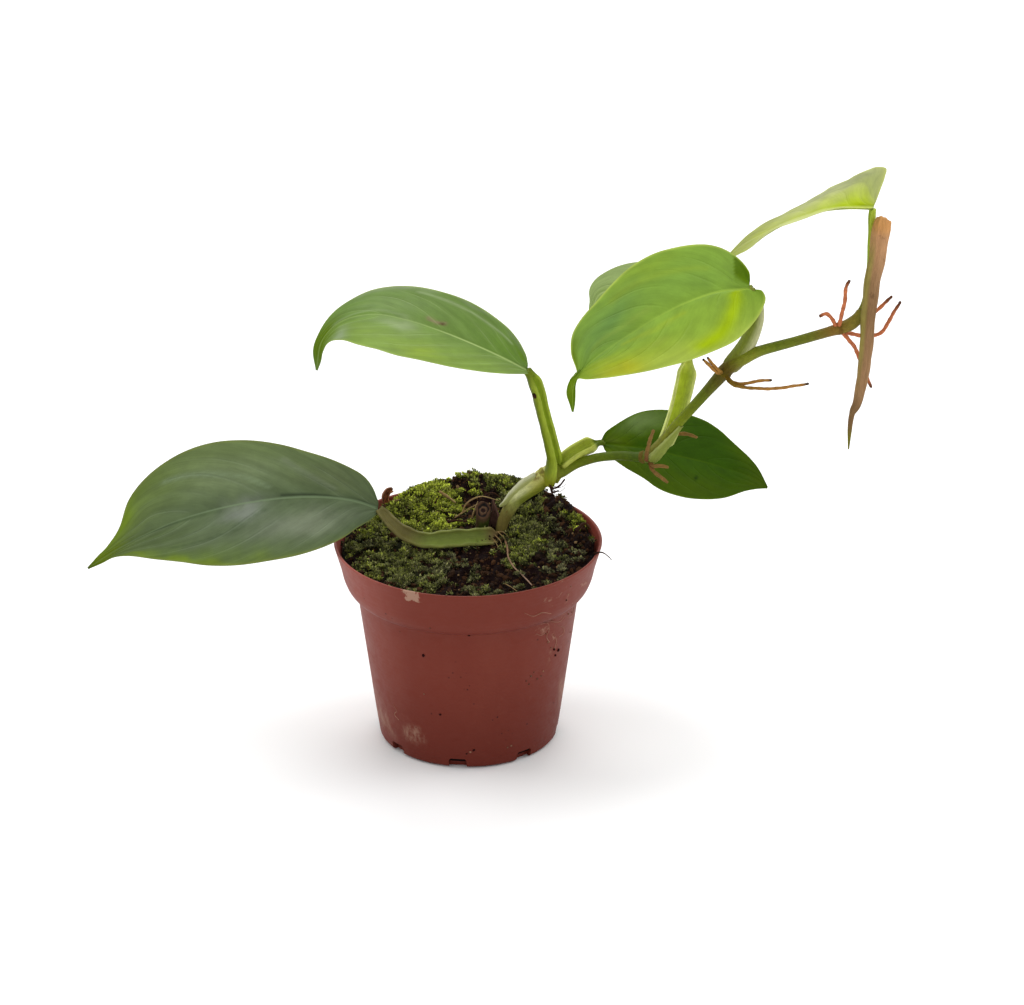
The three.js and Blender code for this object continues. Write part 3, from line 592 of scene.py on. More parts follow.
# Hills and lumps of peat: x, y, radius, height
SOIL_HILLS = [
    (0, 46, 26, 13), (-24, 33, 13, 7), (26, 40, 16, 8), (44, 22, 11, 6), (14, 4, 15, 5), (-6, 8, 14, 3),
    (-36, 6, 15, 3), (-18, -34, 16, 1.5), (40, -18, 15, 2), (50, 4, 9, 2.5), (4, -46, 20, -1.5),
    (-2, -14, 12, 1),
]
PEAT_LUMPS = [
    (-1, 42, 6, 2.6), (44, 28, 7, 3.4), (38, 40, 6.5, 3), (46, 32, 6, 3.6), (53, 3, 4.5, 2),
    (-22, -4, 5, 1.2), (10, -20, 6, 1.5), (16, -33, 4, 1.2),
]
# Moss: x, y, radius, how thick it grows, how bright it is
MOSS = [
    (-22, 40, 14, 1, 1), (-14, 24, 13, 1, 0.95), (-25, 12, 12, 1, 0.7), (-10, 12, 8, 1, 0.9),
    (-35, 26, 10, 1, 0.7), (-34, -14, 21, 0.72, 0.36), (-47, -2, 12, 0.7, 0.3),
    (-24, -32, 15, 0.68, 0.3), (-41, 11, 11, 0.9, 0.42), (-13, -27, 8, 0.7, 0.2),
    (-22, -10, 11, 0.9, 0.35), (9, 52, 9, 1, 0.62), (19, 46, 12, 1, 0.5), (30, 40, 8, 0.8, 0.4),
    (24, 28, 11, 1, 0.4), (27, 12, 11, 1, 0.34), (24, -5, 10, 1, 0.45), (22, -18, 6, 0.8, 0.42),
    (38, 12, 8, 0.5, 0.12), (39, -4, 7, 0.5, 0.12), (51, 20, 6.5, 1, 0.85), (46, -10, 7, 0.45, 0.1),
    (41, -27, 7, 0.32, 0.1), (2, -31, 6, 0.5, 0.1), (8, -45, 8, 0.5, 0.2), (-5, -17, 6, 0.5, 0.1),
    (24, -42, 5, 0.4, 0.1),
]
# Bare peat among the moss: x, y, radius
BARE_PEAT = [
    (-21, -4, 5), (2, -20, 13), (42, 34, 10), (52, 9, 9), (43, 6, 7), (-1, 41, 6), (-8, 17, 5),
    (34, -24, 8), (-50, -12, 5),
]


def apart(x, y, centre_x, centre_y, size):
    """The squared distance from a centre, counted in sizes."""
    return ((x - centre_x) ** 2 + (y - centre_y) ** 2) / size**2


def soil_height(x, y):
    radius = np.hypot(x, y)
    level = SOIL_EDGE + SOIL_CROWN * (1 - (radius / CROWN_RADIUS) ** 2)
    for hill_x, hill_y, size, height in SOIL_HILLS + PEAT_LUMPS:
        level = level + height * np.exp(-apart(x, y, hill_x, hill_y, size))
    waves = 0.7 * np.sin(0.45 * x + 1) * np.cos(0.52 * y) + 0.5 * np.sin(0.83 * x - 0.61 * y)
    # The heap at the back rounds off where it overtops the rim
    above_rim = np.maximum(level - RIM_LEVEL, 0)
    return level + waves - 0.35 * above_rim * (1 - smooth_step(SOIL_RADIUS - radius, 0, 3.5))


def soil_detail(x, y):
    flat = np.stack([x, y, 0 * x], -1)
    return 1.1 * rough(flat, 7, 1.0) + 0.45 * rough(flat, 2.2, 4.0)


def moss_cover(x, y):
    """How thick and how bright the moss is at a place."""
    thick, bright = np.zeros_like(x), np.zeros_like(x)
    for moss_x, moss_y, size, amount, tone in MOSS:
        share = amount * np.exp(-apart(x, y, moss_x, moss_y, size) ** 1.5)
        bright = np.where(share > thick, tone, bright)
        thick = np.maximum(thick, share)
    for bare_x, bare_y, size in BARE_PEAT:
        thick = thick * (1 - 0.75 * np.exp(-apart(x, y, bare_x, bare_y, size) ** 2))
    return thick, bright


def make_soil(material):
    radius = SOIL_RADIUS * (np.arange(1, SOIL_RINGS + 1) / SOIL_RINGS) ** 0.85
    x, y = np.moveaxis(radius[:, None, None] * ring_outline(SOIL_SEGMENTS), -1, 0)
    z = soil_height(x, y) + soil_detail(x, y) * smooth_step(SOIL_RADIUS - radius, 0, 3)[:, None]
    rows = [*np.stack([x, y, z], -1)]
    for out, height in SOIL_WALL:
        rows.append(np.c_[out * ring_outline(SOIL_SEGMENTS), np.full(SOIL_SEGMENTS, height)])
    vertices = np.vstack([*rows, [[0, 0, soil_height(0, 0)]]])
    # A fan from the middle takes the place of the first ring's end face
    faces = tube_faces(len(rows), SOIL_SEGMENTS)
    del faces[-2]
    centre = len(rows) * SOIL_SEGMENTS
    faces += [[centre, k, (k + 1) % SOIL_SEGMENTS] for k in range(SOIL_SEGMENTS)]
    thick, bright = moss_cover(vertices[:, 0], vertices[:, 1])
    layers = {"moss": thick, "bright": bright}
    add_piece("peat_soil", vertices, faces, material, ["soil"], layers)


def soil_surface():
    s = Surface("peat", 0.95, 0.1)
    grain = s.noise(420, detail=6.0, roughness=0.75)
    colour = s.mix(s.noise(90, detail=5.0), (20, 13, 8), (50, 36, 28))
    colour = s.mix(s.band(grain, 0.55, 0.8), colour, (74, 60, 46))
    green = s.mix(s.layer("bright"), (34, 33, 20), (58, 64, 20))
    colour = s.mix(s.band(s.layer("moss"), 0.15, 0.6) * 0.85, colour, green)
    return s.finish(colour, s.band(grain, 0.2, 0.8, 0.85, 1.0), grain + s.cells(700) * 0.6, 0.0012, 0.9)


# Twelve corners and twenty faces of a ball-like grain
GOLD = (1 + 5**0.5) / 2
GRAIN_POINTS = unit(np.array([
    (-1, GOLD, 0), (1, GOLD, 0), (-1, -GOLD, 0), (1, -GOLD, 0), (0, -1, GOLD), (0, 1, GOLD),
    (0, -1, -GOLD), (0, 1, -GOLD), (GOLD, 0, -1), (GOLD, 0, 1), (-GOLD, 0, -1), (-GOLD, 0, 1),
], float))
GRAIN_FACES = np.array([
    (0, 11, 5), (0, 5, 1), (0, 1, 7), (0, 7, 10), (0, 10, 11), (1, 5, 9), (5, 11, 4),
    (11, 10, 2), (10, 7, 6), (7, 1, 8), (3, 9, 4), (3, 4, 2), (3, 2, 6), (3, 6, 8),
    (3, 8, 9), (4, 9, 5), (2, 4, 11), (6, 2, 10), (8, 6, 7), (9, 8, 1),
])

CRUMBS = 3300
SMALLEST_CRUMB, LARGEST_CRUMB = 0.3, 1.9
# Crumbs on thick moss are no larger than this
CRUMB_ON_MOSS = 0.7
PALE_CRUMBS = 0.035


def random_turns(count):
    """Random rotation matrices."""
    w, x, y, z = unit(rng.normal(size=(count, 4))).T
    return np.stack([
        np.stack([1 - 2 * (y * y + z * z), 2 * (x * y - z * w), 2 * (x * z + y * w)], -1),
        np.stack([2 * (x * y + z * w), 1 - 2 * (x * x + z * z), 2 * (y * z - x * w)], -1),
        np.stack([2 * (x * z - y * w), 2 * (y * z + x * w), 1 - 2 * (x * x + y * y)], -1),
    ], -2)


def grain_places(centre, size, low, high, stretch=1.0):
    """Corners of uneven grains, each turned at random."""
    count = len(size)
    jitter = rng.uniform(low, high, (count, len(GRAIN_POINTS), 1))
    local = GRAIN_POINTS[None] * jitter * stretch * size[:, None, None]
    return np.einsum("nij,nkj->nki", random_turns(count), local) + centre[:, None]


def add_grains(name, places, tint, material):
    corners = len(GRAIN_POINTS)
    faces = GRAIN_FACES[None] + corners * np.arange(len(places))[:, None, None]
    add_bits(name, places, faces, np.repeat(tint, corners, 0), material)


def scatter_disc(count, radius):
    angle = rng.uniform(0, 2 * math.pi, count)
    out = radius * np.sqrt(rng.uniform(0, 1, count))
    return out * np.cos(angle), out * np.sin(angle)


def make_crumbs(material):
    """Loose crumbs of peat on the soil's face, a few of them pale bits of bark."""
    x, y = scatter_disc(CRUMBS, SOIL_RADIUS - 1.5)
    size = np.clip(rng.lognormal(-0.45, 0.42, CRUMBS), SMALLEST_CRUMB, LARGEST_CRUMB)
    thick, _ = moss_cover(x, y)
    size = np.where(thick > 0.6, np.minimum(size, CRUMB_ON_MOSS), size)
    z = soil_height(x, y) + soil_detail(x, y) + 0.25 * size
    stretch = rng.uniform(0.6, 1.3, (CRUMBS, 1, 3))
    places = grain_places(np.stack([x, y, z], -1), size, 0.72, 1.18, stretch)
    tone = rng.uniform(0, 1, CRUMBS)
    tint = lay(pigment((30, 20, 14), LIGHT, 0), tone, pigment((78, 58, 46)))
    pale = rng.uniform(0, 1, CRUMBS) < PALE_CRUMBS
    tint[pale] = pigment((136, 112, 82))
    add_grains("peat_crumbs", places, tint, material)


def make_pot_specks(material):
    x, z, size = np.array(POT_SPECKS).T
    size = SPECK_GROWTH * size
    centre = wall_place(x, z)
    centre[:, 1] += 0.1 * size
    places = grain_places(centre, size, 0.6, 1.2)
    tone = rng.uniform(0, 1, len(x)) * (size < PALE_SPECK)
    add_grains("pot_specks", places, paint(pigment((54, 28, 22)), tone, (150, 112, 92)), material)


def crumb_surface():
    s = Surface("peat_crumb", 0.95, 0.1)
    grain = s.noise(900, detail=5.0, roughness=0.7)
    return s.finish(s.shade(s.tint(), grain, 0.6, 1.5), None, grain, 0.0004, 0.8)


# One moss leaflet: foot, two sides, ridge and tip, closed below
LEAFLET_POINTS = np.array([
    (0, 0, 0), (-0.5, 0.45, 0.0), (0.5, 0.45, 0.0), (0, 0.5, 0.22), (0, 1, 0.05),
])
LEAFLET_FACES = np.array([(0, 1, 3), (0, 3, 2), (1, 4, 3), (3, 4, 2), (0, 2, 1), (1, 2, 4)])
# How light each of these points is: painted shade at the foot, a painted highlight at the tip
LEAFLET_SHADING = np.array([0.35, 0.75, 0.75, 0.95, 1.4])
LEAFLETS = 36
CLUMP_SPACING = 1.25
WITHERED_LEAFLETS = 0.07
MOSS_GREY, MOSS_GREEN, MOSS_YELLOW = (106, 104, 76), (116, 122, 58), (178, 188, 70)


def choose_clumps(clumps, edge):
    """Where the clumps stand: x, y, how far below the soil's face, and how bright each is."""
    x, y = scatter_disc(clumps * 14, SOIL_RADIUS - 2)
    drop = np.zeros(len(x))
    if edge:
        turn = np.arctan2(np.abs(y), x)
        x, y = (SOIL_RADIUS - 0.6) * np.cos(turn), (SOIL_RADIUS - 0.6) * np.sin(turn)
        drop = rng.uniform(0, 1, len(x)) * np.maximum(soil_height(x, y) - RIM_LEVEL, 0)
    place = np.stack([x, y, drop], -1)
    thick, bright = moss_cover(x, y)
    patchy = np.array([
        noise.noise(Vector((a / 5, b / 5, 3.0))) + noise.noise(Vector((a / 2.4, b / 2.4, 8.0)))
        for a, b in zip(x, y)
    ])
    wanted = patchy > 0.66 - 0.92 * thick + rng.normal(0, 0.08, len(x))
    kept = []
    for k in np.flatnonzero(wanted):
        if len(kept) == clumps:
            break
        if not kept or np.linalg.norm(place[kept] - place[k], axis=1).min() > CLUMP_SPACING:
            kept.append(k)
    return x[kept], y[kept], drop[kept], bright[kept]


def make_moss(name, material, clumps, edge=False):
    """Low cushions of moss, each a dome of short leaflets, on the soil's face or round its edge."""
    x, y, drop, bright = choose_clumps(clumps, edge)
    count = len(x)
    each = (count, LEAFLETS)
    radius = rng.uniform(0.9, 2.0, count)
    rise = radius * rng.uniform(0.4, 1.1, count)
    ground = soil_height(x, y) + soil_detail(x, y) * (not edge) - drop
    turn = rng.uniform(0, 2 * math.pi, each)
    slope = np.arccos(rng.uniform(0.08, 1, each))
    out = np.stack([np.sin(slope) * np.cos(turn), np.sin(slope) * np.sin(turn), np.cos(slope)], -1)
    reach = rng.uniform(0.5, 1.05, (*each, 1))
    dome = np.stack([radius, radius, rise], -1)[:, None]
    foot = np.stack([x, y, ground], -1)[:, None] + out * dome * reach
    lean = unit(out + rng.normal(size=out.shape) * 0.55 + np.array([0, 0, 0.35]))
    side = unit(np.cross(lean, unit(rng.normal(size=lean.shape))))
    length = rng.uniform(0.8, 1.6, (*each, 1))
    width = length * rng.uniform(0.4, 0.75, (*each, 1))
    axes = np.stack([side * width, lean * length, np.cross(side, lean) * width], -2)
    places = foot[:, :, None] + LEAFLET_POINTS @ axes
    faces = LEAFLET_FACES[None] + len(LEAFLET_POINTS) * np.arange(count * LEAFLETS)[:, None, None]

    own = bright[:, None] + rng.normal(0, 0.14, (count, 1)) + rng.normal(0, 0.12, each)
    share = 2 * np.clip(own, 0, 1)
    grey, green, yellow = (linear(colour) for colour in (MOSS_GREY, MOSS_GREEN, MOSS_YELLOW))
    tint = np.where(share[..., None] < 1, lay(grey, share, green), lay(green, share - 1, yellow))
    mottled = 1 + 0.75 * rough(np.stack([x, y, 0 * x], -1), 6, 9.0)[:, None, None]
    tint = tint * np.clip(mottled, 0.45, 1.7) * rng.uniform(0.5, 1.5, (count, 1, 1))
    tint = tint * rng.uniform(0.6, 1.4, (*each, 1))
    withered = rng.uniform(0, 1, (*each, 1)) < WITHERED_LEAFLETS
    tint = np.where(withered, linear((166, 164, 108)), tint)
    # Leaflets low in a clump stand in its shade
    tint = tint * (0.14 + 0.86 * smooth_step(out[..., 2:], 0.05, 0.85))
    # Painted shade and highlight from each leaflet's foot to its tip
    tint = tint[:, :, None] * LEAFLET_SHADING[:, None]
    add_bits(name, places, faces, tint, material)


def moss_surface():
    s = Surface("moss", 0.8, 0.1)
    grain = s.noise(1200, detail=3.0)
    colour = s.shade(s.tint(), grain, 0.8, 1.2)
    return s.finish(colour, s.band(grain, 0.3, 0.7, 0.6, 0.85), grain, 0.0001, 0.4)


# Stem

STEM_PATH = [
    (13, 3, 70), (13.5, 3, 84), (14.5, 3, 95.5), (16, 3.5, 102), (18.5, 4, 107), (21, 5, 111),
    (25, 6, 114.5), (31, 7, 118.5), (34.5, 7.5, 121.5), (38, 8, 123.5), (42, 8, 124), (46, 8, 126),
    (50, 8, 128), (58, 8, 130.5), (67.5, 6.5, 132), (75.5, 4, 132.5), (81, 1.5, 134), (84, 0, 138),
    (86.5, -0.5, 141.5), (92.5, -1.5, 150.5), (99, -3, 159), (105.5, -4, 167.5), (112, -5, 176),
    (116, -5, 180.5), (121.5, -5, 184), (129, -4, 187), (143.5, -1, 190), (158, 2.5, 193),
    (164.5, 4.5, 194.3), (168.4, 5, 195.8), (171.6, 5.3, 198.6), (173.4, 5.8, 202.2),
]
STEM_RADII = [
    2.2, 2.3, 2.5, 2.6, 3, 3.4, 3.8, 4, 4, 4, 2.8, 2.1, 2, 2, 2, 2.2, 3, 3, 2.6, 2.2, 2.2, 2.4, 3, 3.3,
    3, 2.3, 2.1, 2.2, 2.6, 2.9, 2.6, 2,
]
STEM_STEPS = 430
STEM_SIDES = 36
# Colour of the stem by its x
STEM_COLOURS = [
    (13, 96, 84, 44), (17, 104, 96, 50), (20, 132, 136, 70), (25, 140, 150, 72), (31, 146, 152, 70),
    (36, 140, 136, 50), (42, 108, 118, 34), (52, 92, 104, 20), (63, 84, 100, 22), (68, 76, 92, 22),
    (76, 68, 86, 26), (82, 100, 98, 38), (86, 112, 112, 44), (94, 108, 120, 26), (104, 90, 102, 12),
    (110, 84, 80, 16), (114, 88, 74, 24), (119, 114, 116, 38), (123, 126, 132, 42), (135, 100, 112, 32),
    (150, 100, 104, 34), (160, 122, 96, 42), (168, 124, 110, 46), (174, 122, 114, 44),
]
# Swollen nodes: x and how much the radius grows
STEM_NODES = [(33.5, 0.35), (80.5, 0.3), (113, 0.25), (162.5, 0.2)]


def stem_places():
    """The stem's path, and how far along it each of its given points lies."""
    path = Path(STEM_PATH)
    nearest = [np.argmin(np.linalg.norm(path.fine - p, axis=1)) for p in np.array(STEM_PATH, float)]
    return path, path.reach[nearest]


def make_stem(material):
    path, places = stem_places()
    along = np.linspace(0, path.length, STEM_STEPS + 1)
    radius = soften(np.interp(along, places, STEM_RADII), np.exp(-np.linspace(-2, 2, 13) ** 2))
    place = path.at(along)[:, :1]
    for x, size in STEM_NODES:
        radius = radius + size * bump(place[:, 0], x, 0.8)
    angle = circle(STEM_SIDES)
    ribs = 0.05 * np.sin(9 * angle) + 0.04 * np.sin(5 * angle + 1)
    outline = ring_outline(STEM_SIDES) * (radius[:, None] + ribs)[..., None]
    rings = place_rings(path, along, outline, (0.2, 1, 0.1))
    draw_in(rings, ((0, 0.86), (1, 0.97), (-1, 0.6), (-2, 0.82), (-3, 0.94)))
    tint = pigment(np.stack(read_rows(STEM_COLOURS, place[:, 0]), -1), *GREEN_LIGHT)[:, None]
    # The old lower part is pale on its upper side, where the withered sheath has come off, under a painted
    # highlight
    facing = np.cos(angle)
    bare = smooth_step(place, 19, 23) * smooth_step(place, 39, 34)
    tint = paint(tint, bare * smooth_step(facing, -0.2, 0.4) * 0.9, (202, 204, 148))
    tint = paint(tint, bare * smooth_step(place, 24, 31) * 0.6, (176, 172, 70))
    # Painted shade on its other side
    tint = paint(tint, bare * smooth_step(-facing, -0.2, 0.5) * 0.75, (108, 116, 42))
    spots = bump(place, 32.4, 1.6) * smooth_step(facing, 0.2, 0.7)
    tint = paint(tint, spots * (rough(rings, 1.6, 5.0) > 0.1) * 0.8, (96, 70, 36))
    layers = {"tint": tint, "along": along[:, None], "round": angle}
    add_tube("stem_skin", rings, material, ["stem"], layers)


def stem_surface():
    s = Surface("stem_skin", 0.55, 0.14)
    lines = s.vector(s.layer("along") * 0.12, s.layer("round") * 2.2)
    streak = s.noise(4.0, lines, detail=4.0, roughness=0.65)
    fine = s.noise(500, detail=3.0)
    colour = s.shade(s.shade(s.tint(), streak, 0.78, 1.25), fine, 0.9, 1.1)
    scar = s.band(s.noise(210, detail=4.0), 0.62, 0.7) * 0.45
    colour = s.mix(scar, colour, (112, 84, 46))
    return s.finish(colour, s.band(streak, 0.3, 0.7, 0.42, 0.58), streak + fine * 0.25, 0.0004, 0.5)


# Leaf stalks. Rows of shape are place, radius, spread in degrees, wall and how filled it is.
# Colours are the back, the wings' edges, the inside and the foot.

STALKS = {
    "petiole_1": {
        "path": [
            (13.5, -1.5, 95.6), (9, -4, 96.8), (3, -6, 97.3), (-6.5, -8, 97.6), (-16, -9, 97.2),
            (-21.5, -9, 97.8), (-27.5, -7.5, 99.8), (-32, -5, 102.2), (-36, -1, 105),
            (-39.5, 2.6, 107.3),
        ],
        "top": (0, -0.65, 0.76),
        "shape": [
            (0, 4.2, 80, 1.2, 0), (0.12, 4.8, 68, 1.2, 0), (0.45, 4.8, 63, 1.2, 0),
            (0.7, 4.1, 60, 1.2, 0), (0.9, 2.9, 70, 1.2, 0.2), (1, 2, 130, 1, 1),
        ],
        "wave": 7, "colours": [(134, 132, 76), (112, 118, 62), (112, 124, 62), (124, 106, 74)],
        "far": (0.5, 0.72, (104, 98, 60)), "slot": "petiole_dark",
    },
    "petiole_2": {
        "path": [
            (36.4, 6, 118.6), (37.5, 6, 124), (38, 5.5, 130.5), (37.2, 4.5, 135.5), (35.3, 3.5, 144.5),
            (32.6, 2.5, 156), (30.7, 1.5, 165), (28.2, 0.6, 171.8), (26.2, 0, 175.8),
        ],
        "top": (1, -0.35, 0.25),
        "shape": [
            (0, 5, 125, 1.2, 0), (0.12, 4.5, 120, 1.2, 0), (0.3, 3.8, 114, 1.2, 0),
            (0.6, 3.6, 112, 1.2, 0), (0.88, 3.9, 105, 1.3, 0), (0.94, 2.4, 120, 1.2, 0.7),
            (1, 1.9, 140, 1, 1),
        ],
        "wing": 0.4, "foot": 0.8,
        "colours": [(96, 110, 10), (166, 184, 66), (144, 168, 26), (138, 142, 48)],
        "slot": "petiole_dark",
    },
    "petiole_3": {
        "path": [
            (40.6, 9.2, 125.2), (46.8, 11.2, 129.8), (52, 13, 132.3), (56, 14, 133.7),
            (58.6, 15, 134.4), (60.7, 16, 133.9),
        ],
        "top": (-0.3, -0.3, 1),
        "shape": [
            (0, 3.9, 112, 1.2, 0), (0.45, 4.1, 108, 1.2, 0), (0.72, 4.3, 110, 1.1, 0),
            (0.8, 2.9, 120, 1, 0.5), (0.86, 1.4, 140, 1, 1), (1, 1.3, 140, 1, 1),
        ],
        "far": (0.76, 0.84, (96, 114, 40)),
        "colours": [(182, 190, 84), (184, 192, 92), (176, 188, 74), (140, 146, 56)],
        "slot": "petiole_light",
    },
    "petiole_4": {
        "path": [
            (113.2, -4.6, 177.4), (116, -4.4, 181.2), (119.6, -3.4, 186), (123, -1.6, 191.6),
            (125.8, 0, 197.8), (127, 1, 204), (125.8, 0.4, 211), (123.7, -3, 215.8),
        ],
        "top": (0.8, 0.6, -0.1),
        "shape": [
            (0, 3.3, 120, 0.8, 0), (0.12, 4.2, 118, 1.0, 0), (0.3, 4.3, 104, 1.2, 0),
            (0.5, 3.7, 100, 1.2, 0), (0.7, 3, 95, 1.2, 0), (0.84, 2, 120, 1.2, 0.7),
            (1, 1.8, 140, 1, 1),
        ],
        "wing": 0.2, "blend": 0.34,
        "colours": [(124, 132, 54), (210, 210, 164), (196, 198, 140), (112, 112, 42)],
        "slot": "petiole_light",
    },
    "petiole_5": {
        "path": [
            (86.3, 3, 137.5), (89.4, 5.4, 144.5), (92.6, 8.8, 153), (94.8, 12.3, 160.5),
            (96.3, 15.6, 166.5), (97.3, 18.5, 172), (98, 21.3, 178.5), (98.7, 23, 181.8),
        ],
        "top": (0.3, -0.95, 0.1),
        "shape": [
            (0, 3.6, 110, 1.2, 0), (0.2, 3.9, 105, 1.2, 0), (0.5, 4.4, 96, 1.2, 0),
            (0.7, 4.6, 92, 1.2, 0), (0.76, 2.8, 110, 1.2, 0.6), (0.85, 1.7, 140, 1, 1),
            (1, 1.7, 140, 1, 1),
        ],
        "wing": 0.12, "colours": [(186, 196, 88), (208, 216, 128), (196, 214, 66), (176, 186, 112)],
        "slot": "petiole_light",
    },
    "petiole_6": {
        "path": [
            (168.6, 5, 195.8), (172.3, 5.4, 198.5), (174.5, 6, 202.5), (175.5, 7, 207.5),
            (176, 8.5, 215), (176.4, 9, 223.5), (176.4, 10, 233.5), (177, 10, 247.9),
        ],
        "top": (-1, -0.3, 0.4),
        "shape": [
            (0, 3.1, 140, 1.1, 1), (0.12, 2.7, 140, 1.2, 1), (0.25, 1.9, 140, 1, 1),
            (0.45, 1.3, 140, 0.8, 1), (0.8, 1.2, 140, 0.8, 1), (0.92, 1.8, 140, 1, 1),
            (1, 1.6, 140, 1, 1),
        ],
        "far": (0.1, 0.4, (180, 200, 74)),
        "colours": [(120, 116, 48), (120, 116, 48), (120, 116, 48), (124, 110, 46)],
        "slot": "petiole_dark",
    },
}
STALK_STEPS = 108
OUTER_POINTS, INNER_POINTS = 33, 25
# Round a gutter's section: the place from edge to edge, outside and back inside, and which is inside
GUTTER_ACROSS = np.concatenate([
    np.linspace(-1, 1, OUTER_POINTS), np.linspace(0.96, -0.96, INNER_POINTS),
])
GUTTER_INSIDE = np.repeat([0.0, 1.0], [OUTER_POINTS, INNER_POINTS])


def gutter_outlines(radius, spread, wall, filled):
    """Sections of a stalk: a gutter that opens upwards, or a nearly round one where filled is 1."""
    limit = np.radians(spread)[:, None]
    radius, wall, filled = radius[:, None], wall[:, None], filled[:, None]
    inner = radius - wall
    rise = radius * (1 + np.cos(limit)) / 2
    out = limit * np.linspace(-1, 1, OUTER_POINTS)
    back = np.stack([radius * np.sin(out), rise - radius * np.cos(out)], -1)
    turn = 0.96 * limit * np.linspace(1, -1, INNER_POINTS)
    x = inner * np.sin(turn) * (1 - filled) + inner * np.sin(limit) * turn / limit * filled
    y = rise - inner * np.cos(turn) * (1 - filled) - inner * np.cos(limit) * filled
    return np.concatenate([back, np.stack([x, y], -1)], 1)


def make_stalk(name, spec, material):
    path = Path(spec["path"])
    share = np.linspace(0, 1, STALK_STEPS + 1)
    radius, spread, wall, filled = (soften(row, np.ones(7)) for row in read_rows(spec["shape"], share))
    wave = np.sin(share * path.length * 0.55) * np.sin(share * path.length * 0.23 + 1)
    spread = spread + spec.get("wave", 3.5) * wave * (1 - filled)
    outline = gutter_outlines(radius, spread, wall, filled)
    rings = place_rings(path, share * path.length, outline, spec["top"])
    # The foot grows out of the stem, so it starts narrow
    narrow = spec.get("foot", 0.55)
    grown = narrow + (1 - narrow) * smooth_step(share, 0, 0.07)
    middle = rings.mean(1, keepdims=True)
    rings = middle + (rings - middle) * grown[:, None, None]
    back, wing, hollow, foot = spec["colours"]
    place, gaping = share[:, None], 1 - filled[:, None]
    wings = smooth_step(np.abs(GUTTER_ACROSS), spec.get("wing", 0.55), 1)
    tint = paint(pigment(back, *GREEN_LIGHT), GUTTER_INSIDE * gaping, hollow)
    tint = paint(tint, wings * gaping * 0.9, wing)
    if "far" in spec:
        start, end, colour = spec["far"]
        tint = paint(tint, smooth_step(place, start, end), colour)
    tint = paint(tint, 1 - smooth_step(place, 0.0, spec.get("blend", 0.16)), foot)
    layers = {"tint": tint, "along": place * path.length, "across": GUTTER_ACROSS}
    add_tube(name + "_skin", rings, material, [name], layers)


def stalk_surface():
    s = Surface("stalk_skin", 0.45, 0.16)
    lines = s.vector(s.layer("along") * 0.06, s.layer("across") * 5.0)
    streak = s.noise(3.0, lines, detail=4.0, roughness=0.65)
    fine = s.noise(450, detail=3.0)
    colour = s.shade(s.shade(s.tint(), streak, 0.84, 1.17), fine, 0.92, 1.09)
    fleck = s.band(s.noise(260, detail=3.0), 0.68, 0.74) * 0.5
    colour = s.mix(fleck, colour, (100, 82, 40))
    return s.finish(colour, s.band(streak, 0.3, 0.7, 0.38, 0.55), streak + fine * 0.2, 0.0003, 0.5)


# Leaf blades. The edges' points are distance along the midrib and distance out from it.

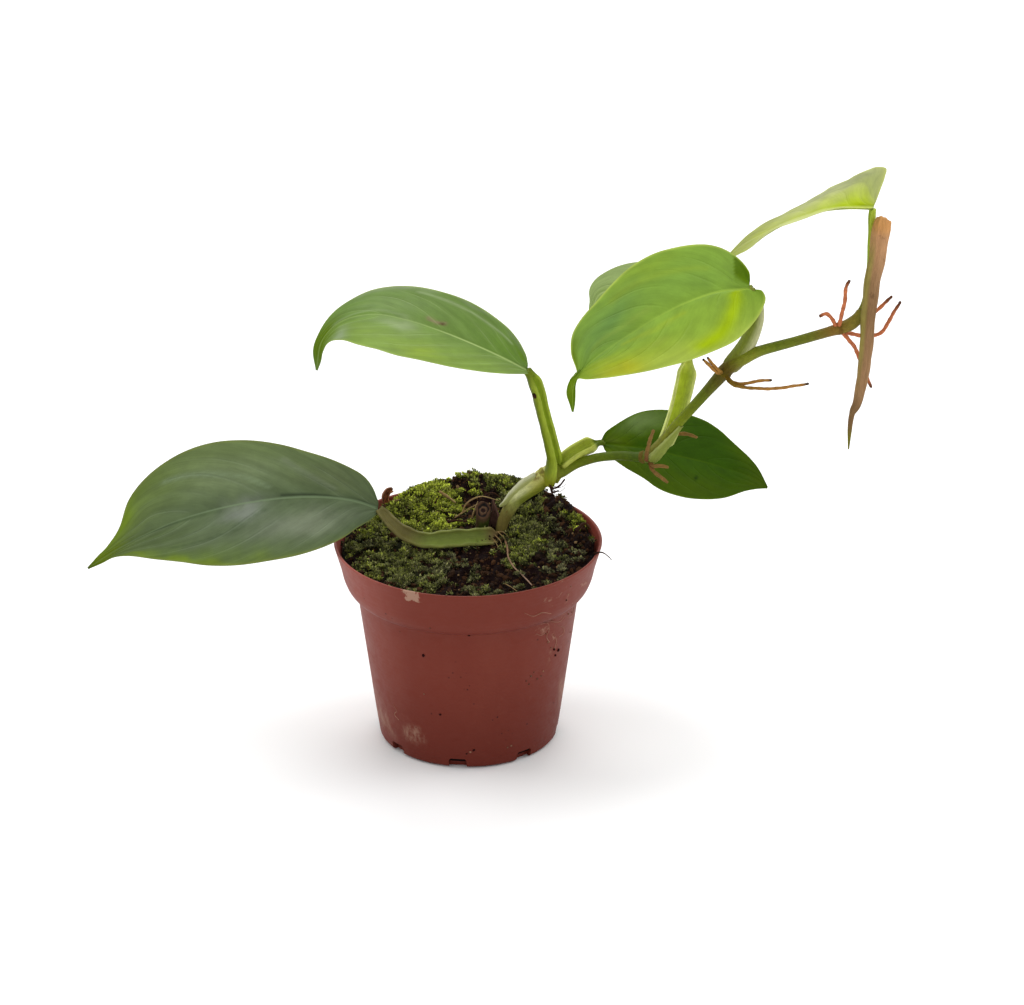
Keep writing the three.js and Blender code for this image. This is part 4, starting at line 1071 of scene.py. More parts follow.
LEAVES = {
    "leaf_1": {
        "midrib": [
            (-40, 3, 108), (-52, 2, 112.5), (-69.5, 0, 115), (-89, -2, 114.5), (-109, -4, 111.5),
            (-128, -6, 106.5), (-143, -7, 100), (-156, -8, 93), (-169.5, -10, 84.5),
        ],
        "half_width": 31, "tilt": [(0, 39), (1, 39)], "fold": [(0, 8), (0.5, 4), (1, 0)],
        "far_edge": [
            (1, 3.5), (5, 8.5), (11, 13.5), (21, 18), (32, 22), (43, 26.5), (56, 30.5), (70, 32.5),
            (84, 31), (98, 26), (109, 19), (117, 9), (125, 4), (131, 2.4),
        ],
        "near_edge": [
            (0, 3), (4, 9.5), (14, 19), (26, 26), (40, 30), (56, 31), (70, 30), (83, 26.5), (95, 20.5),
            (107, 13.5), (118, 6), (125, 2.6), (131, 1.8),
        ],
        "quilt": 0.16, "slot": "leaf_old",
    },
    "leaf_2": {
        "midrib": [
            (26.5, 0, 176), (16.5, -2, 182.5), (2, -4, 190.5), (-12, -5, 197), (-26.5, -6, 202.5),
            (-41, -7, 205.5), (-55, -8, 202.5), (-63.5, -9, 193.5), (-66, -10, 180),
        ],
        "half_width": 27, "tilt": [(0, 15), (1, 15)], "fold": [(0, 10), (0.5, 5), (1, 0)],
        "far_edge": [
            (0, 4), (1.5, 9.5), (6, 16.5), (13, 21.5), (25, 25.8), (38, 26.5), (50, 25.5), (62, 22.5),
            (74, 17), (84, 11.5), (93, 7), (101, 4), (109, 2.4),
        ],
        "near_edge": [
            (0, 3.2), (5, 7.5), (13, 13.5), (24, 19.5), (38, 24.5), (52, 27.3), (64, 28.5), (75, 26),
            (84, 20.5), (92, 12), (99, 5), (106, 2.2), (111, 1.6),
        ],
        "quilt": 0.12, "slot": "leaf_mid",
    },
    "leaf_3": {
        "midrib": [
            (60.5, 16, 134), (70, 18, 132), (81.5, 20, 129.5), (93, 21, 126), (105, 22, 122.5),
            (116, 22, 119), (125.5, 21, 116), (134.5, 20, 110.5),
        ],
        "half_width": 22, "tilt": [(0, 31), (1, 31)], "fold": [(0, 8), (0.5, 4), (1, 0)],
        "far_edge": [
            (-1, 1.5), (1.5, 6), (6.5, 10.5), (12, 15), (19, 19.5), (27, 22.5), (35, 23.4), (44, 22.5),
            (51, 19.5), (57, 15.5), (63, 11.5), (69, 7.5), (74, 4),
        ],
        "near_edge": [
            (0, 4), (3, 8.5), (8, 12.5), (15, 16.5), (23, 20), (32, 22), (40, 22.3), (48, 20.8),
            (56, 18), (63, 14), (70, 8), (75, 3.4),
        ],
        "quilt": 0.1, "slot": "leaf_dark",
    },
    "leaf_4": {
        "midrib": [
            (123.5, -3, 216), (110, -9, 217), (97, -14, 214.5), (84, -18, 209.5), (71, -21, 202),
            (59, -24, 194.5), (51, -26, 188), (46.5, -27, 180.5), (46, -27, 167.5),
        ],
        "half_width": 28, "tilt": [(0, 38), (1, 38)], "lean": -14.5, "fold": [(0, 6), (0.5, 4), (1, 0)],
        "far_edge": [
            (-1.5, 4), (-2.5, 9), (0, 16), (5.5, 21.5), (13, 25.5), (22, 28), (33, 29.4), (44, 28.5),
            (54, 26), (64, 22.7), (72, 20.2), (79, 16.4), (84, 9.2), (87.6, 1.4), (92, 2.6), (97.5, 3),
            (102, 1.6),
        ],
        "near_edge": [
            (-2.5, 0.8), (-5, 2), (-5, 6.5), (-1.5, 12), (5, 19), (13, 25), (22, 28.7), (33, 29.3),
            (44, 28), (54, 24.5), (64, 20.2), (74, 14.8), (82, 9.4), (87, 4.6), (89.4, 1), (92, 0.6),
            (96, 1.3), (101, 1.2),
        ],
        "quilt": 0.12, "slot": "leaf_bright",
    },
    "leaf_5": {
        "midrib": [
            (98.7, 23, 181.8), (88.1, 31, 189.1), (78, 37.5, 194.1), (68.7, 41.5, 196.6),
            (62.5, 43, 196.4), (58.5, 42.2, 194.8), (56.2, 39.5, 191.2), (54.8, 36, 186.8),
        ],
        "half_width": 22, "tilt": [(0, 24), (0.5, 30), (1, 34)], "fold": [(0, 6), (0.5, 4), (1, 0)],
        "far_edge": [
            (-1, 3), (-2, 8), (1, 13.5), (7, 18.5), (14.5, 21.5), (23, 23), (31, 21.8), (38, 17.8),
            (44, 11.8), (49, 6.3), (53, 2.8), (58, 1.5),
        ],
        "near_edge": [
            (-1, 3), (-2, 8), (1, 13.5), (7, 18.5), (14.5, 21), (23, 21), (31, 19), (38, 15.5),
            (44, 11.5), (49, 7.5), (53, 4.2), (58, 1.8),
        ],
        "quilt": 0.08, "slot": "leaf_grey",
    },
    "leaf_6": {
        "midrib": [
            (177.2, 10, 249.1), (165.7, 11.2, 248.7), (156.3, 13, 247), (149.9, 14.5, 244.3),
            (143.5, 16.5, 241.2), (137.1, 19, 237.4), (131.2, 21.5, 233), (125.5, 24, 228.7),
            (120.6, 26.5, 224.5), (116, 29, 219), (112.6, 31, 212),
        ],
        "half_width": 24, "cup": 0.1,
        "tilt": [(0, 7), (0.15, -3), (0.3, -4), (0.45, -3), (0.6, 2), (0.75, 12), (1, 20)],
        "fold": [(0, 27), (0.15, 18), (0.3, 9), (0.45, 6), (0.6, 2.5), (0.75, -1), (1, -4)],
        "far_edge": [
            (-1, 2.6), (-2.7, 9), (-4.6, 16.8), (-4.5, 21.9), (3.3, 22.1), (13.2, 21.6), (24, 21.4),
            (34.4, 20.5), (44.5, 17.5), (54.4, 14), (63, 9.3), (69.5, 4.4), (75, 2),
        ],
        "near_edge": [
            (0.3, 2.5), (0, 8.2), (0, 13.8), (2.2, 18.2), (8.5, 21.1), (16.1, 23.2), (25.2, 22.7),
            (34.7, 20.2), (44.4, 16.4), (54.3, 12.1), (63.4, 8.5), (70.2, 4.7), (76, 2),
        ],
        "quilt": 0.06, "slot": "leaf_young",
    },
}
BLADE = 0.75
RIB_DIP, RIB_RIDGE = 0.35, 0.85
TIP_HALF_WIDTH = 0.45
RIB_SWEEP = 1.6
LEAF_ROWS, LEAF_HALF = 120, 28
LEAF_VEINS = 8
# How far a side vein runs towards the tip on its way to the margin, as a share of the length
VEIN_LEAN, VEIN_BEND = 0.22, 0.18
# Each blade's screen colours and skin. light is how strongly light comes back and the gloss's haze.
LEAF_PAINT = {
    "leaf_1": {
        "base": (87, 101, 72), "margin": (118, 128, 66), "light": (1.18, 0.009),
        "vein": (132, 146, 122), "rib": (122, 140, 108), "gloss": 0.42,
        "vein_share": 0.1, "rib_share": 0.6, "rib_end": 0.62, "streak": 0.17,
    },
    "leaf_2": {
        "base": (112, 141, 70), "margin": (164, 184, 96), "light": (1.44, 0.015),
        "vein": (160, 182, 118), "rib": (176, 196, 126), "gloss": 0.4,
        "vein_share": 0.12, "rib_share": 0.65, "rib_end": 0.4,
    },
    "leaf_3": {
        "base": (64, 88, 20), "margin": (96, 116, 44), "light": (1.14, 0.022),
        "vein": (66, 90, 26), "rib": (80, 104, 34), "gloss": 0.5,
        "vein_share": 0.04, "rib_share": 0.4, "rib_end": 0.7, "streak": 0.1, "shine": 0.03,
    },
    "leaf_4": {
        "base": (132, 166, 68), "margin": (190, 208, 100), "light": (1.36, 0.014),
        "vein": (156, 184, 84), "rib": (164, 194, 84), "gloss": 0.42,
        "vein_share": 0.02, "rib_share": 0.55, "rib_end": 0.35,
    },
    # Its grey-green is painted reflection of the white surroundings, seen at a grazing angle
    "leaf_5": {
        "base": (156, 180, 104), "margin": (172, 186, 120), "light": (1.44, 0.015),
        "vein": (174, 190, 136), "rib": (178, 194, 136), "gloss": 0.45,
        "vein_share": 0.08, "rib_share": 0.5,
    },
    "leaf_6": {
        "base": (186, 198, 88), "margin": (200, 208, 120), "light": (1.4, 0.015),
        "vein": (198, 206, 140), "rib": (206, 214, 140), "gloss": 0.42,
        "vein_share": 0.05, "rib_share": 0.35,
    },
}
# Colours laid over a blade: share along, place across (1 is the far margin and -1 the near one),
# size along, size across, strength and colour
LEAF_PATCHES = {
    # The greyish patches are painted sheen, mostly on the near half; the others are the blade's own tones
    "leaf_1": [
        (0.5, 0.8, 0.3, 0.5, 0.75, (110, 126, 78)), (0.12, -0.55, 0.09, 0.3, 0.2, (134, 142, 124)),
        (0.45, 0.45, 0.12, 0.25, 0.6, (128, 142, 106)), (0.75, 0.75, 0.16, 0.35, 0.75, (102, 120, 64)),
        (0.5, -0.6, 0.5, 0.5, 0.3, (104, 114, 90)), (0.44, -0.1, 0.07, 0.16, 0.6, (130, 134, 128)),
        (0.34, -0.5, 0.08, 0.2, 0.45, (126, 132, 116)), (0.24, -0.5, 0.08, 0.26, 0.65, (132, 140, 118)),
        (0.71, -0.4, 0.12, 0.4, 0.5, (78, 94, 50)), (0.6, -0.9, 0.25, 0.2, 0.6, (92, 112, 48)),
        (0.17, 0.6, 0.12, 0.4, 0.5, (100, 108, 78)), (0.97, 0, 0.13, 3, 1, (94, 112, 6)),
        (0.8, 1, 0.16, 0.25, 0.85, (104, 126, 30)), (0.62, -1, 0.3, 0.1, 0.7, (112, 132, 34)),
    ],
    # The pale greyish patches are painted gloss highlights
    "leaf_2": [
        (0.45, -0.8, 0.5, 0.55, 0.75, (138, 164, 76)), (0.4, -0.82, 0.06, 0.2, 0.5, (152, 176, 60)),
        (0.12, 0.4, 0.14, 0.5, 0.7, (104, 138, 52)), (0.55, 0.4, 0.14, 0.3, 0.4, (140, 162, 108)),
        (0.53, -0.16, 0.07, 0.16, 0.6, (158, 174, 130)), (0.06, 0.85, 0.05, 0.3, 0.8, (94, 128, 16)),
        (0.88, 0.1, 0.09, 1.5, 0.95, (98, 124, 12)), (0.73, -0.8, 0.04, 0.25, 0.6, (164, 178, 150)),
        (0.3, 0.98, 0.3, 0.08, 0.5, (134, 150, 112)), (0.56, 0.98, 0.14, 0.12, 0.6, (152, 166, 130)),
    ],
    # The first patch, pale and bluish, is a painted highlight
    "leaf_3": [
        (0.27, 0.8, 0.13, 0.3, 0.85, (116, 136, 86)), (0.08, 0.3, 0.09, 0.6, 0.8, (94, 110, 54)),
        (0.8, 0.95, 0.14, 0.35, 0.8, (76, 96, 30)), (0.95, 0, 0.12, 2, 0.8, (76, 92, 28)),
        (0.5, -0.8, 0.4, 0.5, 0.8, (78, 96, 40)), (0.1, -0.8, 0.14, 0.4, 0.7, (104, 122, 20)),
    ],
    "leaf_4": [
        (0.58, 0.5, 0.14, 0.25, 0.7, (104, 142, 80)), (0.25, 0.4, 0.12, 0.3, 0.5, (124, 160, 74)),
        (0.4, 0.85, 0.1, 0.2, 0.5, (142, 168, 58)), (0.3, -0.5, 0.3, 0.5, 0.5, (146, 176, 62)),
        (0.62, -0.75, 0.16, 0.4, 0.8, (164, 182, 50)), (0.6, -0.88, 0.05, 0.2, 0.9, (180, 178, 14)),
        (0.66, 0.1, 0.1, 0.3, 0.5, (112, 146, 72)), (0.04, -0.98, 0.07, 0.2, 0.6, (116, 150, 44)),
        (0.42, -0.97, 0.22, 0.3, 0.7, (182, 200, 86)), (0.71, 0.99, 0.05, 0.14, 0.95, (98, 122, 26)),
        (0.9, 0, 0.11, 3, 1, (98, 126, 10)), (0.9, 0.2, 0.04, 0.5, 0.6, (140, 164, 60)),
    ],
    # The pale grey patch on the far half is painted reflection as well
    "leaf_5": [
        (0.5, 0.9, 0.5, 0.6, 0.6, (166, 186, 126)), (0.6, -0.6, 0.4, 0.5, 0.5, (146, 174, 76)),
        (0.55, 0.97, 0.03, 0.06, 0.6, (150, 146, 96)),
    ],
    # The two pale grey patches are painted sheen
    "leaf_6": [
        (0.35, 0.9, 0.4, 0.5, 0.85, (180, 184, 136)), (0.35, 0.85, 0.5, 0.13, 0.6, (152, 158, 118)),
        (0.13, 0.0, 0.16, 0.6, 1, (172, 194, 6)), (0.0, -0.7, 0.06, 0.5, 0.9, (138, 172, 16)),
        (0.5, -0.7, 0.2, 0.4, 0.4, (204, 208, 158)), (0.8, 0.2, 0.2, 1.5, 0.7, (158, 166, 84)),
        (0.95, 0, 0.08, 2, 0.7, (132, 146, 56)),
    ],
}
# Lines on a blade: points as share along and place across, half width in mm, strength, colour
LEAF_LINES = {
    "leaf_1": [
        ([(0.63, 0.74), (0.53, 0.54), (0.43, 0.4), (0.36, 0.22)], 1.1, 0.5, (132, 150, 116)),
        ([(0.33, 0.74), (0.24, 0.5), (0.16, 0.3)], 1.4, 0.4, (128, 138, 114)),
        ([(0.48, -0.38), (0.37, -0.14)], 0.8, 0.5, (70, 84, 60)),
        ([(0.66, -0.72), (0.53, -0.5), (0.45, -0.4)], 0.8, 0.5, (68, 82, 54)),
        ([(0.2, -0.5), (0.13, -0.3)], 0.8, 0.4, (82, 94, 72)),
        # The last three lines are painted shade beside the midrib, below it towards the tip and above it
        # near the base
        ([(0.9, -0.1), (0.8, -0.06), (0.65, -0.04), (0.52, -0.03)], 0.8, 0.8, (54, 70, 42)),
        ([(0.42, 0.03), (0.32, 0.04), (0.22, 0.05)], 0.6, 0.4, (58, 68, 52)),
        ([(0.32, 0.05), (0.2, 0.06), (0.06, 0.09), (0.02, 0.12)], 0.8, 0.75, (58, 68, 52)),
    ],
    "leaf_2": [
        # The three pale lines are painted highlights, one along a fold near the far margin and two near
        # the midrib
        (
            [(0.49, 0.84), (0.41, 0.8), (0.34, 0.75), (0.22, 0.74), (0.14, 0.74)], 0.8, 0.75,
            (156, 176, 124),
        ),
        ([(0.8, 0.12), (0.65, 0.2), (0.52, 0.08)], 1.2, 0.45, (152, 172, 122)),
        ([(0.14, -0.2), (0.05, -0.12)], 1.1, 0.4, (164, 184, 110)),
        ([(0.435, 0.2), (0.4, 0.16), (0.37, 0.2)], 1.0, 0.8, (150, 124, 104)),
        ([(0.4, 0.13), (0.372, 0.18)], 0.45, 0.9, (92, 60, 46)),
        ([(0.99, 0.0), (1.0, 0.0)], 1.0, 0.9, (84, 70, 50)),
    ],
    "leaf_3": [([(0.55, -0.5), (0.56, -0.45)], 0.7, 0.7, (36, 44, 18))],
    "leaf_4": [
        (
            [(0.03, -0.1), (0.08, -0.3), (0.17, -0.58), (0.26, -0.72), (0.38, -0.84)], 3.2, 0.85,
            (168, 194, 14),
        ),
        ([(0.33, -0.16), (0.46, -0.2), (0.6, -0.16)], 1.3, 0.5, (158, 178, 56)),
        ([(0.2, 0.55), (0.35, 0.62), (0.5, 0.78)], 1.6, 0.35, (148, 170, 58)),
        ([(0.44, 0.2), (0.6, 0.25), (0.7, 0.4)], 1.4, 0.3, (150, 172, 78)),
        ([(0.45, -0.45), (0.6, -0.5), (0.7, -0.4)], 1.2, 0.3, (160, 180, 70)),
    ],
    "leaf_5": [],
    "leaf_6": [([(0.05, 0.72), (0.25, 0.72), (0.45, 0.7), (0.7, 0.6)], 0.5, 0.5, (140, 146, 106))],
}


def leaf_point(leaf, path, along, out, side):
    share = np.clip(along / path.length, 0, 1)
    foot, ahead = path.at(along), path.tangent(along)
    tilt, fold = (np.radians(read_rows(leaf[key], share)[0]) for key in ("tilt", "fold"))
    lean = math.radians(leaf.get("lean", 0))
    normal = np.stack([
        np.full_like(tilt, math.sin(lean)), -np.sin(tilt) * math.cos(lean), np.cos(tilt) * math.cos(lean),
    ], -1)
    normal = unit(normal - ahead * np.sum(normal * ahead, -1, keepdims=True))
    across = np.cross(ahead, normal)
    lift = out * np.sin(fold) * (1 - leaf.get("cup", 0.5) * out / leaf["half_width"])
    return foot + across * (side * out * np.cos(fold))[..., None] + normal * lift[..., None]


def leaf_grid(leaf):
    """The upper face as rows of points, with the share of each row, the place across and the reach."""
    path = Path(leaf["midrib"])
    share = np.linspace(0, 1, LEAF_ROWS)
    far_side = 1 if path.tangent(path.length / 2)[0] < 0 else -1
    part = np.sin(np.linspace(0, 1, LEAF_HALF + 1)[1:] * math.pi / 2)
    station = (share * path.length)[:, None]
    halves = []
    for edge, side in (("far_edge", far_side), ("near_edge", -far_side)):
        margin = catmull([*leaf[edge], (path.length, TIP_HALF_WIDTH)], share)
        out = np.maximum(margin[:, 1], TIP_HALF_WIDTH)[:, None] * part
        along = station + (margin[:, :1] - station) * part**RIB_SWEEP
        halves.append((leaf_point(leaf, path, along, out, side), out))
    middle = leaf_point(leaf, path, station, np.zeros_like(station), 1)
    points = np.concatenate([halves[0][0][:, ::-1], middle, halves[1][0]], 1)
    reach = np.concatenate([halves[0][1][:, ::-1], np.zeros_like(station), -halves[1][1]], 1)
    across = np.broadcast_to(np.concatenate([part[::-1], [0], -part]), reach.shape)
    return points, np.broadcast_to(share[:, None], reach.shape), across, reach


def near_line(x, y, points):
    """How far each place is from a line through points."""
    nearest = np.full(x.shape, 1e9)
    for (ax, ay), (bx, by) in zip(points, points[1:]):
        run = (bx - ax) ** 2 + (by - ay) ** 2
        share = np.clip(((x - ax) * (bx - ax) + (y - ay) * (by - ay)) / run, 0, 1)
        nearest = np.minimum(nearest, np.hypot(x - ax - share * (bx - ax), y - ay - share * (by - ay)))
    return nearest


def paint_leaf(name, leaf, share, across, x):
    """The blade's pigments: its base, patches, lines and margin."""
    skin = LEAF_PAINT[name]
    length, half_width = Path(leaf["midrib"]).length, leaf["half_width"]
    # The patches' edges wander, so that none of them reads as a disc
    flat = np.stack([share * length, across * half_width, 0 * share], -1)
    drift, sway = rough(flat, 14, 1.0), rough(flat, 14, 7.0)
    s, f = share + 0.035 * drift, across + 0.14 * sway
    tint = linear(skin["base"])
    for along, over, along_size, over_size, strength, colour in LEAF_PATCHES[name]:
        mask = bump(s, along, along_size) * bump(f, over, over_size) * strength
        tint = lay(tint, mask, linear(colour))
    if name == "leaf_4":
        # Painted shade: the corner of the far lobe, which curves away, is dark and ends in a sharp line
        corner = smooth_step(f, 0.25, 0.75) * smooth_step(x, 116.3, 117.1)
        tint = lay(tint, corner, linear((94, 124, 6)))
    for points, width, strength, colour in LEAF_LINES[name]:
        line = [(a * length, b * half_width) for a, b in points]
        gap = near_line(share * length, across * half_width, line) + 0.25 * width * sway
        tint = lay(tint, bump(gap, 0, width) * strength, linear(colour))
    tint = lay(tint, smooth_step(np.abs(across), 0.95, 1) * 0.75, linear(skin["margin"]))
    return as_pigment(tint, *skin["light"])


def make_leaf(name, leaf):
    """A thin closed blade: the upper face, the under face with its raised midrib, and the margin."""
    points, share, across, reach = leaf_grid(leaf)
    normals = unit(np.cross(np.gradient(points, axis=0), np.gradient(points, axis=1)))
    if normals[..., 2].mean() < 0:
        normals = -normals
    half = np.abs(across)
    # The blade swells a little between its side veins, and dips along the midrib
    place = LEAF_VEINS * (share - half * VEIN_LEAN - half**2 * VEIN_BEND)
    quilt = leaf["quilt"] * (1 - np.cos(2 * math.pi * place)) / 2
    quilt = quilt * smooth_step(half, 0.03, 0.3) * smooth_step(1 - half, 0.02, 0.3)
    slim = 1 - 0.8 * share
    upper = points + normals * (quilt - RIB_DIP * bump(reach, 0, 0.8) * slim - 0.1)[..., None]
    thick = BLADE * (1 - 0.72 * smooth_step(half, 0.55, 1))
    depth = thick + RIB_RIDGE * bump(reach, 0, 1.1) * slim - 0.5 * quilt
    lower = points - normals * depth[..., None]
    rows, columns = reach.shape
    count = rows * columns
    index = np.arange(count).reshape(rows, columns)
    rim = np.concatenate([index[0, :-1], index[:-1, -1], index[-1, :0:-1], index[:0:-1, 0]])
    following = np.roll(rim, -1)
    wall = np.stack([following, rim, rim + count, following + count], -1)
    top_faces = grid_faces(rows, columns)
    faces = np.concatenate([top_faces, top_faces[:, ::-1] + count, wall])
    tint = paint_leaf(name, leaf, share, across, points[..., 0])
    under_tint = tint * 0.75 + pigment((158, 172, 118)) * 0.25
    layers = {"tint": np.stack([tint, under_tint]), "under": np.repeat([0.0, 1.0], count)}
    for key, values in (("share", share), ("across", across), ("reach", reach)):
        layers[key] = np.stack([values, values])
    material = leaf_surface(leaf["slot"], LEAF_PAINT[name])
    add_piece(name + "_blade", np.stack([upper, lower]), faces, material, [name], layers)


def leaf_surface(name, skin):
    gloss, vein_share = skin["gloss"], skin["vein_share"]
    streak, rib_end = skin.get("streak", 0.12), skin.get("rib_end", 1.0)
    s = Surface(name, gloss, skin.get("shine", 0.06))
    share, across, reach = s.layer("share"), s.layer("across"), s.layer("reach")
    half = s.math("ABSOLUTE", across)
    side = s.math("SIGN", across) * 0.17
    wander = s.noise(3.0, s.vector(share, half, side), detail=1.0) * 0.22
    place = (share - half * (half * VEIN_BEND + VEIN_LEAN)) * float(LEAF_VEINS) + wander
    off_vein = s.math("PINGPONG", place, 0.5)
    fade = s.band(half, 0.02, 0.12) * s.band(half, 0.55, 0.97, 1.0, 0.15)
    fine = s.fall(s.math("PINGPONG", place * 7.0, 0.5), 0.0, 0.4)
    distance = s.math("ABSOLUTE", reach) / (0.95 - share * 0.6)
    midrib = s.fall(distance, 0.25, 1.0) * s.band(share, rib_end - 0.15, rib_end + 0.1, 1.0, 0.35)
    bands = s.noise(1.6, s.vector(place, half * 1.6, side), detail=4.0, roughness=0.6)
    mottle = s.noise(160, detail=4.0, roughness=0.6)
    blotch = s.noise(26, s.stretch(0.6, 1, 1), detail=2.0)
    colour = s.tint()
    for value, depth in ((bands, streak), (mottle, 0.06), (blotch, 0.07)):
        colour = s.shade(colour, value, 1 - depth, 1 + depth)
    colour = s.shade(colour, fine, 1.0, 1.012)
    # No two side veins show equally well
    patchy = s.band(s.noise(1.1, s.vector(place, half * 2.0, side), detail=1.0), 0.4, 0.62)
    lateral = s.fall(off_vein, 0.0, 0.1) * fade * patchy
    glow = s.fall(off_vein, 0.06, 0.3) * fade * (0.5 * vein_share)
    colour = s.mix(glow, colour, skin["vein"])
    colour = s.mix(lateral * vein_share, colour, skin["vein"])
    colour = s.mix(midrib * skin["rib_share"], colour, skin["rib"])
    relief = lateral * -0.7 + fine * -0.05 + mottle * 0.25
    roughness = s.band(bands, 0.3, 0.7, gloss - 0.05, gloss + 0.07) + s.layer("under") * 0.2
    return s.finish(colour, roughness, relief, 0.0005, 0.45)


# Dry sheaths, bark, stub and roots

BUD_SHEATH_PATH = [
    (181.4, 5, 247.2), (180.4, 4.6, 238.5), (178.9, 3.7, 227.5), (177.3, 3, 217.5), (176, 1.6, 203),
    (174.9, 0, 182.5), (173.3, -1, 168), (171.9, -1, 160.5), (169.8, -1, 155.5), (169, -1, 147),
    (168.7, -1, 138.5),
]
BUD_SHEATH_RADII = [
    (0, 4.1), (0.05, 4.1), (0.17, 3.75), (0.3, 3.6), (0.53, 3.2), (0.65, 2.9), (0.72, 2.6), (0.79, 2.2),
    (0.825, 1.9), (0.845, 1.3), (0.92, 1.0), (1, 0.3),
]
BUD_SIDES, BUD_STEPS, BUD_DEPTH = 40, 200, 46
# The top draws in to a small mouth: share along and share of the width
BUD_MOUTH = ([0, 0.012, 0.03, 0.06], [0.42, 0.7, 0.92, 1])
STUB_PATH = [(6, 6, 84), (6, 6, 95), (6.5, 5, 102.5), (7, 4, 109)]
BARK_PATH = [(12, 6.5, 88), (11.8, 6.5, 96), (12.4, 6, 104), (11.2, 6, 110.5)]
OLD_SHEATH_PATH = [
    (14.2, 1.5, 109.4), (17.8, 3.6, 110.8), (21.8, 5, 113.2), (26.7, 6.3, 116.4), (32, 7.2, 119.8),
]
SURFACE_ROOT = [
    (16.6, -3, 95.2), (17.6, -11, 94.8), (18, -19, 94.2), (20.5, -27, 93), (24.5, -34, 92),
    (28.5, -41, 90.6),
]
STUB_SIDES, STUB_STEPS = 40, 50
# Rings of the stub's cut face from the outside in: share of the width, how far it sinks, colour
STUB_RINGS = [
    (0.93, -0.15, (92, 70, 56)), (0.8, -0.2, (84, 62, 50)), (0.7, 0.3, (38, 26, 22)),
    (0.58, 0.45, (44, 30, 26)), (0.47, 0.1, (98, 76, 60)), (0.32, 0.1, (108, 84, 68)),
    (0.24, 0.45, (44, 30, 26)), (0.1, 0.5, (56, 40, 34)),
]
# Dry bits on the soil and over the rim: points, start and end radius
DARK_BITS = [
    ([(-15.2, 24.8, 99), (-14.6, 24.8, 101.5), (-13.2, 24.8, 104.4)], 0.7, 0.3),
    ([(56, -15.5, 94.2), (59.5, -16.8, 95.4), (62.5, -17.5, 93.6), (64, -18, 92)], 0.55, 0.25),
    ([(7, 9, 111.6), (11, 9, 112.8), (14.5, 8, 111)], 0.4, 0.25),
    ([(35.5, 4, 119.4), (38, 1, 117.8), (41, 0.5, 117.2), (43.6, 1, 119.3)], 0.32, 0.15),
    ([(36.5, 3, 118.6), (39, 0, 116.2), (42.3, 0.5, 116.6)], 0.3, 0.12),
    ([(37.5, 3, 119.6), (40, 0.5, 119), (42.8, 0, 120.2), (43.8, 0, 121.4)], 0.28, 0.12),
    ([(-9, 7, 99.5), (-5, 4, 101.5), (-1, 6, 100)], 0.9, 0.5),
    ([(48, 2, 97), (52, 6, 99), (55, 4, 97)], 1.1, 0.6),
    ([(29.3, -2, 165.7), (29.6, -2.1, 164.5), (29.9, -2.1, 163.4)], 0.85, 0.8),
]
PALE_BITS = [
    ([(-13, 24.8, 106.4), (-9.5, 24.6, 104), (-5.6, 24, 101)], 1.5, 1.0),
    ([(-2.5, 8, 103.5), (-1, 8, 107.5), (2.6, 8, 110.4), (7, 8, 111.4), (14, 7, 109.8)], 0.75, 0.5),
    ([(-6, 9, 100.5), (-1, 8, 104.5), (3, 8, 107), (6.5, 7, 108)], 0.8, 0.5),
    ([(1.5, 9, 100), (3, 9, 104.5), (4.4, 9, 108.6)], 0.9, 0.6),
    ([(16.5, -40, 91), (19.5, -43, 90.6), (22, -46, 90)], 0.4, 0.25),
    ([(12, -4, 98), (14.6, -6, 95.8), (15.4, -8, 92.6)], 0.5, 0.25),
    ([(13, -2, 99), (16.2, -4.5, 96.6), (17.6, -6, 93.4)], 0.45, 0.2),
    ([(12.5, -1, 98), (15.5, -1.5, 98.4), (18.5, -3, 96)], 0.5, 0.2),
    ([(11, -5, 97), (13.2, -8, 94.4), (13, -10, 92)], 0.45, 0.2),
    ([(-34, 35.7, 96.6), (-30.5, 35.7, 97.4), (-27, 35.7, 96.6)], 1.1, 0.6),
]
CURLED_SCRAP = [(-37.5, 34.8, 96), (-38, 34.8, 99), (-36.8, 34.8, 102), (-34.6, 35, 103)]
